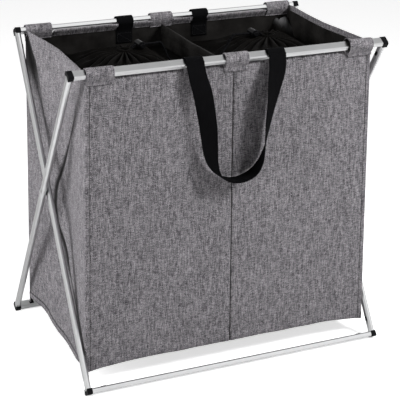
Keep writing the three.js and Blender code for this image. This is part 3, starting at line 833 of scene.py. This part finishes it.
panel_tall = panel_top - panel_low
columns = spaced(
    -bag_half, bag_half, 0.006,
    *(side * place for side in (-1, 1) for place in (
        0.0009, 0.0018, 0.0030, 0.0045,
        *(bag_half - edge_fold + off for off in (-0.0014, -0.0005, 0.0005, 0.0014)),
        bag_half - 0.003, bag_half - 0.0012,
    )),
    *(end + off for stretch in tucks for end in stretch for off in (-tuck_ease, 0, tuck_ease)),
)
shares = [place / panel_tall for place in spaced(
    0, panel_tall, 0.006, 0.001, 0.002, 0.003, 0.004, 0.005, 0.006, 0.0068, 0.009,
    *(panel_tall - hem_deep + off for off in (-0.0006, 0, 0.0006)), panel_tall - 0.0012,
)]
lows = [panel_tall * (1 - share) for share in shares]
places = [[(x + bag_half, low) for x in columns] for low in lows]


def panel_relief(i, j):
    """The middle seam, the folds at the side edges, the rounded edge and the hem."""
    x = abs(columns[j])
    seam = -0.0016 * hill(x, 0.0014) + 0.0006 * hill(x - 0.004, 0.002)
    fold = -0.0008 * hill(x - (bag_half - edge_fold), 0.0009)
    rounded = -0.0006 * eased(x, bag_half - 0.0015, bag_half)
    hem = 0.0005 * (1 - eased(lows[i], hem_deep - 0.0003, hem_deep + 0.0005))
    return seam + fold + rounded + hem - 0.0005 * (lows[i] < 0.0004)


def panel_lining(i, j):
    """The top edge is turned in, so grey cloth shows inside above the lining."""
    return int(panel_tall * shares[i] >= hem_inside)


def painted_seam_shade(i, j):
    """Faces of the black lining on the outer face paint shade as a dark line in the middle seam and in the
    fold at each side edge.
    """
    x = abs((columns[j] + columns[j + 1]) / 2)
    return int(x < 0.0008 or abs(x - bag_half + edge_fold) < 0.0004)


for which in ("front", "back"):
    rows = [[panel_place(x, share) for x in columns] for share in shares]
    cloth = Cloth(rows, places, panel_thick, (0, -1, 0))
    if which == "back":
        cloth.turn_round()
    panel = cloth.sewn(f"{which}_cloth", [grey_cloth, black_lining], panel_relief, panel_lining, painted_seam_shade)
    hem_row = nearest(lows, hem_deep - 0.0012)
    runs = [cloth.row_run(hem_row, 3, 0.0005)]
    for side in (-1, 1):
        column = nearest(columns, side * (bag_half - edge_fold - 0.0014))
        runs.append(cloth.run([(i, column) for i in range(2, len(shares) - 2)], -0.0004))
    sewing = stitches(f"{which}_cloth_stitches", runs, grey_thread)
    settle([panel, sewing], f"bag_{which}", f"{which}_panel")


# Loops. Six bands of the grey cloth, lined in black, hold the bag. Each goes over a rail, closes under it,
# and its two ends are stitched to both faces of the panel.
loop_thick, loop_wide = 0.0016, 0.049
loop_corner = 0.245
loop_middle = 0.0098
loop_leaf = 0.0021
loop_tails = {"left": 0.020, "centre": 0.0225, "right": 0.020}
loop_inner_tail = 0.0165
loop_close, loop_slack = 0.0144, 0.0006
loop_flare, loop_stitch = 0.0035, 0.0036


def on_wheel(turn, radius):
    """A place on a circle across a rail."""
    out, up = round_at(turn, radius)
    return Vector((out, 0, up))


def round_rail(tail):
    """The line of a band of cloth over a rail: up from one end, round the tube and down to the other end."""
    close = Vector((-loop_leaf, 0, -loop_close))
    reach = hypot(close.x, close.z)
    touch = atan2(close.z, close.x) % tau - acos(loop_middle / reach)
    over = [on_wheel(turn, loop_middle) for turn in steps(touch, pi - touch, 18)]
    outer_end = [Vector((-loop_leaf, 0, z)) for z in steps(-tail, close.z, 3)[:-1]]
    up = [
        close.lerp(over[0], share) - Vector((loop_slack * sin(pi * share), 0, 0))
        for share in steps(0, 1, 5)[:-1]
    ]
    down = [Vector((-p.x, 0, p.z)) for p in reversed(up)]
    inner_end = [Vector((loop_leaf, 0, z)) for z in steps(close.z, -loop_inner_tail, 3)[1:]]
    return [*outer_end, *up, *over, *down, *inner_end]


for which, turned in (("front", 1), ("back", -1)):
    for name, side in (("left", -1), ("centre", 0), ("right", 1)):
        middle = side * turned * loop_corner
        low, high = -loop_wide / 2 + (0.005 if name == "centre" else 0), loop_wide / 2
        columns = spaced(low, high, 0.0045, low + 0.001, high - 0.001)
        flare = loop_flare if (which, name) == ("front", "right") else 0
        rows, places = [], []
        for part, point in enumerate(round_rail(loop_tails[name])):
            row = []
            for x in columns:
                loose = 0.0003 * lumps(x * 60, part * 0.35, middle * 9)
                loose += flare * (1 - eased(x, -high, 0.012 - high)) * (point.z > -0.012)
                outward = point.normalized() * max(loose, -0.0001)
                row.append(Vector((middle + x, panel_y + point.x + outward.x, rail_z + point.z + outward.z)))
            rows.append(row)
            places.append([(x + 0.03 + 0.4 * (side + 1), part * 0.0024) for x in columns])
        band = Cloth(rows, places, loop_thick, (0, 0, 1))
        if which == "back":
            band.turn_round()

        def loop_relief(i, j):
            return -0.0004 * (j in (0, len(columns) - 1)) + 0.0003 * (i < 2 or i > band.high - 3)

        loop = band.sewn(f"{which}_loop_{name}_band", [grey_cloth, black_lining], loop_relief)
        runs = [band.row_run(i, 1, 0.0) for i in (1, 2)]
        sewing = stitches(f"{which}_loop_{name}_stitches", runs, grey_thread, loop_stitch)
        settle([loop, sewing], f"bag_{which}", f"{which}_loop_{name}")


# Side panels. One grey gusset on each side, lined in black. It hangs slack between the front and the back,
# so it bows inwards in soft upright folds. The longest winds down it. Its arched foot has a double hem.
side_thick = 0.0016
side_top = 0.572042
rail_room = 0.0109
side_bow = 0.018
# Pairs of height and place from front to back, and of place and height for the foot.
crease_line = (
    (0.5720, -0.1220), (0.5300, -0.1170), (0.4907, -0.1077), (0.4461, -0.0720), (0.4136, -0.0370),
    (0.3941, -0.0168), (0.3787, -0.0039), (0.3481, 0.0144), (0.3267, 0.0278), (0.3098, 0.0383),
    (0.2870, 0.0429), (0.2667, 0.0456), (0.2414, 0.0394), (0.2235, 0.0286), (0.2095, 0.0047),
    (0.1897, -0.0080), (0.1673, -0.0186), (0.1488, -0.0638), (0.1280, -0.0966), (0.1043, -0.1180),
    (0.0820, -0.1260), (0.0270, -0.1280),
)
fold_line = (
    (0.5720, 0.1460), (0.5613, 0.1388), (0.5397, 0.1201), (0.5250, 0.1040), (0.4982, 0.0954),
    (0.4760, 0.0884), (0.4418, 0.0812), (0.4079, 0.0719), (0.3901, 0.0662), (0.30, 0.050), (0.03, 0.040),
)
foot_line = (
    (0.1590, 0.0385), (0.1240, 0.0410), (0.0940, 0.0430), (0.0630, 0.0395), (0.0390, 0.0325),
    (0.0130, 0.0270), (-0.0320, 0.0265), (-0.0780, 0.0290), (-0.1290, 0.0310), (-0.1590, 0.0290),
)
hem_line, foot_stitches = 0.0115, 0.011
crease_blur = 0.012
rim_hem, rim_lining = 0.009, 0.010


def side_reach(y, z):
    """How far out the face of a side panel is. It bows inwards, less so near the rim and the foot."""
    bow = side_bow * (1 - 0.55 * eased(z, 0.34, 0.55)) * mixed(0.5, 1, eased(z, 0.03, 0.16))
    return bag_half_at(z) - bow * cos(pi / 2 * y / inner_depth_half) ** 2


def line_at(line, at):
    for (high, a), (low, b) in zip(line, line[1:]):
        if at >= low:
            return mixed(a, b, min(1, max(0, (high - at) / (high - low))))
    return line[-1][1]


def crease_at(z):
    """Where the long crease is at a height, with its corners rounded."""
    return sum(line_at(crease_line, z + crease_blur * step) for step in (-1, -0.5, 0, 0.5, 1)) / 5


def side_folds(y, z):
    """How far inwards the folds press the cloth, besides the bow."""
    past = y - crease_at(z)
    held = cos(pi / 2 * y / inner_depth_half) ** 0.5 if abs(y) < inner_depth_half else 0
    strong = (1 - 0.8 * eased(z, 0.44, 0.53)) * (0.55 + 0.45 * eased(z, 0.05, 0.14))
    crease = 0.0030 * hill(past, 0.012) - 0.0015 * hill(past + 0.024, 0.014)
    behind = y - line_at(fold_line, z)
    back_swell = -0.0014 * hill(behind + 0.008, 0.010) * eased(z, 0.28, 0.36)
    pocket = 0.0040 * hill(behind - 0.019, 0.013) * eased(z, 0.28, 0.42)
    loose = 0.0022 * lumps(y * 16, z * 4, 8.5)
    return held * (crease * strong + back_swell + pocket + loose)


def side_shade(y, z):
    """Painted shade: how dark the cloth is along its long crease, behind the fold line at the back and along
    that line.
    """
    past = y - crease_at(z)
    slope = (crease_at(z + crease_blur) - crease_at(z - crease_blur)) / (2 * crease_blur)
    wide = 0.0100 * min(1.7, max(0.5, 1 + 0.45 * slope))
    strong = (1 - 0.85 * eased(z, 0.44, 0.53)) * (0.75 + 0.25 * eased(z, 0.05, 0.14))
    crease = strong * exp(-((past / wide) ** 4))
    behind = y - line_at(fold_line, z)
    wedge = eased(behind, -0.004, 0.004) * (0.22 * eased(z, 0.35, 0.42) + 0.78 * eased(z, 0.460, 0.515))
    fold = 0.75 * hill(behind, 0.0045) * eased(z, 0.33, 0.38) * (1 - eased(z, 0.50, 0.53))
    return min(1, max(crease, wedge, fold))


def side_top_at(y):
    """The rim is level, and is cut away under the rails at both ends."""
    past = abs(abs(y) - 0.160)
    if past >= rail_room:
        return side_top
    return rail_z - sqrt(rail_room ** 2 - past ** 2)


side_tall = side_top - panel_low
shares = [place / side_tall for place in spaced(
    0, side_tall, 0.0065, 0.0012, rim_hem, rim_lining,
    *(side_tall - hem_line + off for off in (-0.0018, -0.001, 0, 0.001, 0.0018)),
)]
downs, lows = [side_tall * share for share in shares], [side_tall * (1 - share) for share in shares]
by_front = (-inner_depth_half, -0.1572, -0.152, -0.1505, -0.1496, -0.1492, -0.1490, -0.1484)
by_crease = (-0.012, -0.008, -0.005, -0.003, -0.001, 0.001, 0.003, 0.005, 0.008, 0.012, 0.017)


def side_columns(share):
    """Places from front to back on one row, close together at both edges and at the crease."""
    crease = crease_at(mixed(side_top, panel_low, share))
    return [
        *by_front,
        *steps(-0.1465, crease - 0.016, 13),
        *(crease + off for off in by_crease),
        *steps(crease + 0.023, 0.1465, 38),
        *(-place for place in reversed(by_front)),
    ]


def side_relief(i, j):
    """The hem of the rim, the double hem of the foot and the rounded edges."""
    hem = 0.0005 * (1 - eased(downs[i], 0.0088, 0.0102)) + 0.0009 * (1 - eased(lows[i], 0.0108, 0.0122))
    return hem - 0.0005 * (shares[i] in (0, 1))


def side_lining(i, j):
    """The rim is turned in too."""
    return int(downs[i] >= rim_lining)


for name, side in (("left", -1), ("right", 1)):
    rows, places = [], []
    for share, low_by in zip(shares, lows):
        columns = side_columns(share)
        row = []
        for y in columns:
            foot = line_at(foot_line, y) + 0.0012 * lumps(y * 30, 4.4, side)
            z = mixed(side_top_at(y), foot, share)
            row.append(Vector((side * (side_reach(y, z) - side_thick / 2 - side_folds(y, z)), y, z)))
        rows.append(row)
        places.append([(y + inner_depth_half, low_by) for y in columns])
    cloth = Cloth(rows, places, side_thick, (side, 0, 0))
    panel = cloth.sewn(f"{name}_side_cloth", [grey_cloth, black_lining], side_relief, side_lining)
    # The crease attribute holds painted shade: the creases from side_shade and a dark line along the foot
    # hem.
    shade = panel.data.attributes.new("crease", "FLOAT", "POINT")
    shade.data.foreach_set("value", [
        max(side_shade(point.y, point.z), 0.7 * (abs(low_by - hem_line) < 0.0011))
        for low_by, row in zip(lows, rows) for point in row
    ] * 2)
    rim_run = cloth.row_run(nearest(downs, rim_hem), 8, 0.0003)
    foot_run = cloth.row_run(nearest(lows, foot_stitches), 1, 0.0004)
    sewing = stitches(f"{name}_side_stitches", [rim_run, foot_run], grey_thread)
    settle([panel, sewing], "bag_front", f"{name}_side_panel", cloth_keep)

# Base. A board of stiff felt, with the black lining above it and the grey cloth below, lies between the four
# walls. Its ends are bent up over the arched foot of the side panels.
base_thick = 0.0016
base_z = 0.0376
columns = spaced(-1, 1, 0.028)
lines = spaced(-inner_depth_half, inner_depth_half, 0.008)
rows, places = [], []
for y in lines:
    lift = max(0, line_at(foot_line, y) + 0.0016 - base_z)
    reach = side_reach(y, base_z) - bag_half + base_half
    rows.append([
        Vector((x * reach, y, base_z + x ** 4 * lift + 0.0006 * lumps(x * 5, y * 14, 3)))
        for x in columns
    ])
    places.append([(x * base_half + base_half, y + inner_depth_half) for x in columns])
base = Cloth(rows, places, base_thick, (0, 0, 1)).sewn("base_cover", [black_lining, grey_cloth])
settle([base], "bag_front", "base_panel", cloth_keep)

# Divider. A double sheet of the lining parts the two bins. Its top edge is bound with a doubled hem, and it
# is notched at the top where the panels' tucks and hems need room.
divider_thick = 0.0016
divider_low, divider_high = 0.038742, 0.556742
notch_deep, notch_tall = 0.0022, 0.0143
bound = 0.014
tall = divider_high - divider_low
columns = spaced(-inner_depth_half, inner_depth_half, 0.006, -0.1563, -0.156, 0.156, 0.1563)
shares = [place / tall for place in spaced(0, tall, 0.008, 0.001, bound - 0.0006, bound, bound + 0.0006)]
downs = [tall * share for share in shares]
rows, places = [], []
for share, down in zip(shares, downs):
    row = []
    for y in columns:
        reach = 1 - notch_deep * (1 - eased(down, notch_tall, notch_tall + 0.002)) / inner_depth_half
        held = cos(pi / 2 * y / inner_depth_half)
        slack = held * (0.0035 * lumps(y * 9, share * 3, 6.2) + 0.0015 * lumps(y * 30, share * 5, 2.2))
        row.append(Vector((slack, y * reach, divider_high - down - 0.003 * held * (1 - share) ** 3)))
    rows.append(row)
    places.append([(y + inner_depth_half, tall * (1 - share)) for y in columns])
cloth = Cloth(rows, places, divider_thick, (-1, 0, 0))


def divider_relief(i, j):
    return 0.0009 * (1 - eased(downs[i], bound - 0.0004, bound + 0.0004)) - 0.0005 * (i == 0)


divider = cloth.sewn("divider_cloth", [black_lining], divider_relief, lambda i, j: 0)
bound_run = cloth.row_run(nearest(downs, bound - 0.0006), 1, 0.0009)
sewing = stitches("divider_stitches", [bound_run], black_thread)
settle([divider, sewing], "bag_front", "divider", cloth_keep)

# Handles. Black webbing passes over each top rail, is sewn inside the panel, and hangs outside it in a U. The
# straps turn a quarter on the way down, so the band lies with its width across the bottom of the U.
black_webbing = Finish("black_webbing", Specular_IOR_Level=0.015)
across, along = black_webbing.cloth_place()
rib, pick = 0.0013, 0.0011
ribs = (across / rib * tau).sine() * 0.5 + 0.5
picks = ((along / pick + (across / rib).whole() * 0.5) * tau).sine() * 0.5 + 0.5
yarns = black_webbing.noise(black_webbing.vector((across / rib).whole() * 3.7, along * 60, 2), 1, detail=2)
black_webbing.surface(
    Base_Color=black_webbing.ramp(
        yarns * 0.5 + picks * 0.5, (0.2, (0.0018, 0.0018, 0.0020)), (0.8, (0.0068, 0.0068, 0.0075)),
    ),
    Roughness=0.66 + 0.2 * yarns,
)
black_webbing.relief(ribs * 0.6 + picks * 0.4, 0.7, 0.0005)

web_thick, web_wide, web_tail = 0.0016, 0.033, 0.042
handle_spread, handle_drop = 0.154, 0.214
clearance = 0.0003
tab_inner = 0.0090
lap = tab_inner + 1.5 * web_thick + clearance
handle_out = (web_wide - web_thick) / 2
# How far each place of the U is aside, out and down, as shares, and how much of the quarter turn it has made.
handle_rows = (
    (0.97, 0.35, 0.1, 0.03), (0.89, 0.65, 0.22, 0.18), (0.82, 0.75, 0.36, 0.36), (0.755, 0.75, 0.5, 0.48),
    (0.71, 0.7, 0.64, 0.6), (0.67, 0.63, 0.76, 0.72), (0.58, 0.57, 0.87, 0.86), (0.43, 0.53, 0.945, 0.95),
    (0.23, 0.5, 0.985, 1), (0, 0.5, 1, 1),
)
web_profile = (
    (-1, 0), (-0.985, 0.55), (-0.94, 0.9), (-0.5, 1), (0, 1), (0.5, 1), (0.94, 0.9), (0.985, 0.55),
    (1, 0), (0.985, -0.55), (0.94, -0.9), (0.5, -1), (0, -1), (-0.5, -1), (-0.94, -0.9), (-0.985, -0.55),
)


def webbing(name, centres, acrosses, thick_at=lambda share: web_thick):
    """A band of webbing along a line, with its width across it and softly rounded edges."""
    points, places = [], []
    last = len(centres) - 1
    for i, (centre, way, walked) in enumerate(followed(centres)):
        across = (acrosses[i] - way * acrosses[i].dot(way)).normalized()
        normal = way.cross(across)
        thick = thick_at(i / last)
        for a, b in web_profile:
            points.append(centre + across * (a * web_wide / 2) + normal * (b * thick / 2))
            places.append(((a + 1) * web_wide / 2 + (0.05 if b < 0 else 0), walked))
    count = len(web_profile)
    ends = [tuple(range(count)), tuple(range(last * count, (last + 1) * count))[::-1]]
    faces = ring_quads(last + 1, count, inward=True) + ends
    return make_piece(name, points, faces, [black_webbing], places)


def turned_round(points, which):
    return points if which == "front" else [half_turn @ point for point in points]


def thinned(share):
    """The handle's ends taper where they lie on the tabs."""
    return web_thick * (0.35 + 0.65 * eased(min(share, 1 - share), 0.0, 0.012))


rail = Vector((0, panel_y, rail_z))
inside = panel_thick / 2 + clearance + web_thick / 2
box_inset, box_low, box_high, box_stitch = 0.003, 0.003, 0.020, 0.0032
box_corners = ((-1, box_low), (1, box_low), (1, box_high), (-1, box_high), (-1, box_low), (1, box_high))
tab_close = Vector((inside, 0, -0.018))
tab_middle = tab_inner + web_thick / 2
for which, turned in (("front", 1), ("back", -1)):
    rows = []
    for share in (0, 0.5, 1):
        turn = pi - (1 - share) * radians(20)
        rows.append((Vector((handle_spread / 2, *round_at(turn, lap))), 0.0))
    for over_share, out_share, down_share, quarters in handle_rows:
        rows.append((Vector((
            over_share * handle_spread / 2, -lap - out_share * handle_out, -down_share * handle_drop,
        )), quarters * pi / 2))
    rows += [(Vector((-at.x, at.y, at.z)), pi - turn) for at, turn in reversed(rows[:-1])]
    centres = [rail + point for point in smooth_route([at for at, _ in rows], 6)]
    turns = [value.x for value in smooth_route([Vector((turn, 0, 0)) for _, turn in rows], 6, power=0)]
    acrosses = [Vector((*round_at(turn, 1), 0)) for turn in turns]
    handle = webbing(
        f"{which}_handle_band", turned_round(centres, which), turned_round(acrosses, which), thinned,
    )
    settle([handle], f"{which}_handle", f"{which}_handle")

    for name, side in (("left", -1), ("right", 1)):
        middle = side * turned * handle_spread / 2
        reach = hypot(tab_close.x, tab_close.z)
        touch = atan2(tab_close.z, tab_close.x) + acos(tab_middle / reach)
        over = [on_wheel(turn, tab_middle) for turn in steps(touch, pi, 20)]
        line = [Vector((inside, 0, z)) for z in steps(-web_tail, tab_close.z, 5)[:-1]]
        line += [*(tab_close.lerp(over[0], i / 4) for i in range(4)), *over]
        centres = [Vector((middle, panel_y + p.x, rail_z + p.z)) for p in line]
        tab = webbing(
            f"{which}_handle_end_{name}",
            turned_round(centres, which),
            turned_round([Vector((1, 0, 0))] * len(centres), which),
        )
        box_y, box_z = panel_y + (inside + web_thick / 2), rail_z - web_tail
        box = [Vector((middle + a * (web_wide / 2 - box_inset), box_y, box_z + b)) for a, b in box_corners]
        outward = turned_round([Vector((0, 1, 0))], which)[0]
        cross = [(point, outward) for point in turned_round(box, which)]
        sewing = stitches(f"{which}_handle_end_stitches_{name}", [cross], black_thread, box_stitch, 0.0004)
        settle([tab, sewing], f"bag_{which}", f"{which}_handle_tab_{name}")

# Collars. The lining of each bin ends in a sleeve of the same taffeta. The cord in its hem draws it into a
# small mouth, so that it lies in folds that spread from the mouth and flatten out towards the walls. In the
# back right corner some of it is caught up in a bunch.
fold_count = 26
casing_radius = 0.0032
sleeve_thick = 0.0008


def fold_valley(cell, angle, share):
    """From 0 on a ridge to 1 in a valley. Pairs of folds run into one on the way out."""
    seed = cell["mouth_x"] * 50
    wander = 0.9 * sin(3 * angle + seed) + 0.5 * sin(7 * angle + seed * 2)
    wander += 0.8 * share * sin(5 * angle - seed)
    tight = 0.5 + 0.5 * cos(fold_count * angle + wander)
    wide = 0.5 + 0.5 * cos(fold_count / 2 * angle + wander * 0.7 + 0.6)
    return mixed(tight, wide, eased(share, 0.18, 0.6))


def bunch(x, y):
    """How much of the collar's cloth is caught up in the back right corner of the bag."""
    return eased(x, 0.224, 0.250) * eased(y, 0.116, 0.150)


def caught_light(point):
    """Where the bunched cloth gets a painted highlight."""
    high = hill(point.x - 0.251, 0.011) * hill(point.z - 0.545, 0.007)
    low = 0.7 * hill(point.x - 0.263, 0.008) * hill(point.z - 0.531, 0.006)
    return bunch(point.x, point.y) * (high + low)


def fold_depth(share):
    return mixed(0.0022, 0.0085, eased(share, 0, 0.14)) * (1 - eased(share, 0.2, 0.98)) + 0.0004


collar_columns, hem_steps, hem_open = 312, 8, radians(-60)
near_shares = (0.012, 0.03, 0.05, 0.075, 0.1, 0.13, 0.16, 0.2)
out_shares = [*near_shares, *steps(0.2, 1, 24)[1:]]


def hem_place(cell, angle, bend):
    """A place on the hem round the cord, with the bend from its inside over its top to its outside."""
    gathered = casing_radius + 0.0007 * (0.5 - fold_valley(cell, angle, 0))
    out, up = round_at(pi - bend, gathered)
    x, y = round_at(angle, ring_radius + out)
    return Vector((cell["mouth_x"] + x, mouth_back + y, mouth_z + up))


def sleeve_place(cell, angle, share):
    """A place on the sleeve, at a share of the way from the mouth to the walls."""
    out, back = round_at(angle, mixed(mouth_radius + 0.0012, wall_reach(cell, angle), share))
    y = mouth_back + back
    limit = base_half - bag_half + side_reach(y, collar_z) - clearance
    x = min(max(cell["mouth_x"] + out, -limit), limit)
    crumple = lumps(x * 40, y * 40, 3.3) * eased(share, 0.05, 0.4) * (1 - eased(share, 0.8, 1))
    z = collar_height(share) + 0.0004 - fold_valley(cell, angle, share) * fold_depth(share)
    z += bunch(x, y) * (0.030 + 0.012 * lumps(x * 110, y * 110, 1.7)) - 0.0022 * abs(crumple)
    return Vector((x, y, z))


for name, cell in bins.items():
    angles = full_turn(collar_columns)
    bends = steps(hem_open, pi, hem_steps)
    rows = [[hem_place(cell, angle, bend) for angle in angles] for bend in bends]
    rows += [[sleeve_place(cell, angle, share) for angle in angles] for share in out_shares]
    high = len(rows)
    points, places = [], []
    for layer in (1, -1):
        for i, row in enumerate(rows):
            above, below = rows[max(i - 1, 0)], rows[min(i + 1, high - 1)]
            for k, point in enumerate(row):
                over = row[(k + 1) % collar_columns] - row[k - 1]
                normal = square_to(below[k] - above[k], over, (0, 0, 1))
                points.append(point + normal * layer * sleeve_thick / 2)
                places.append((0.7 * k / collar_columns, i * 0.006))
    count, last = high * collar_columns, (high - 1) * collar_columns
    faces = ring_quads(high, collar_columns, inward=True) + ring_quads(high, collar_columns, start=count)
    for k in range(collar_columns):
        following = (k + 1) % collar_columns
        faces.append((k, following, following + count, k + count))
        faces.append((last + following, last + k, last + k + count, last + following + count))
    sleeve = make_piece(f"{name}_collar_sleeve", points, faces, [collar_lining], places)
    caught = sleeve.data.attributes.new("caught_light", "FLOAT", "POINT")
    caught.data.foreach_set("value", [caught_light(point) for point in points])
    settle([sleeve], "bag_front", f"{name}_collar", cloth_keep)

# Cord locks. A barrel and a plunger of shiny black plastic with a steel spring between them. A slot through
# both grips the two ends of the drawstring.
lock_plastic = mottled(
    "lock_plastic", 140, 3, (0.0025, 0.0025, 0.003), (0.006, 0.006, 0.0065), (0.12, 0.12),
    Specular_IOR_Level=0.06,
)
spring_steel = mottled(
    "spring_steel", 1500, 2, (0.46, 0.46, 0.47), (0.62, 0.62, 0.63), (0.22, 0.15), Metallic=1,
)
for name in bins:
    dressed(f"{name}_cord_lock", lock_plastic, 0.0004, sharp_over=40)
    dressed(f"{name}_lock_button", lock_plastic, 0.0003, sharp_over=40)
    dressed(f"{name}_lock_spring", spring_steel, 0.00005, sharp_over=80)
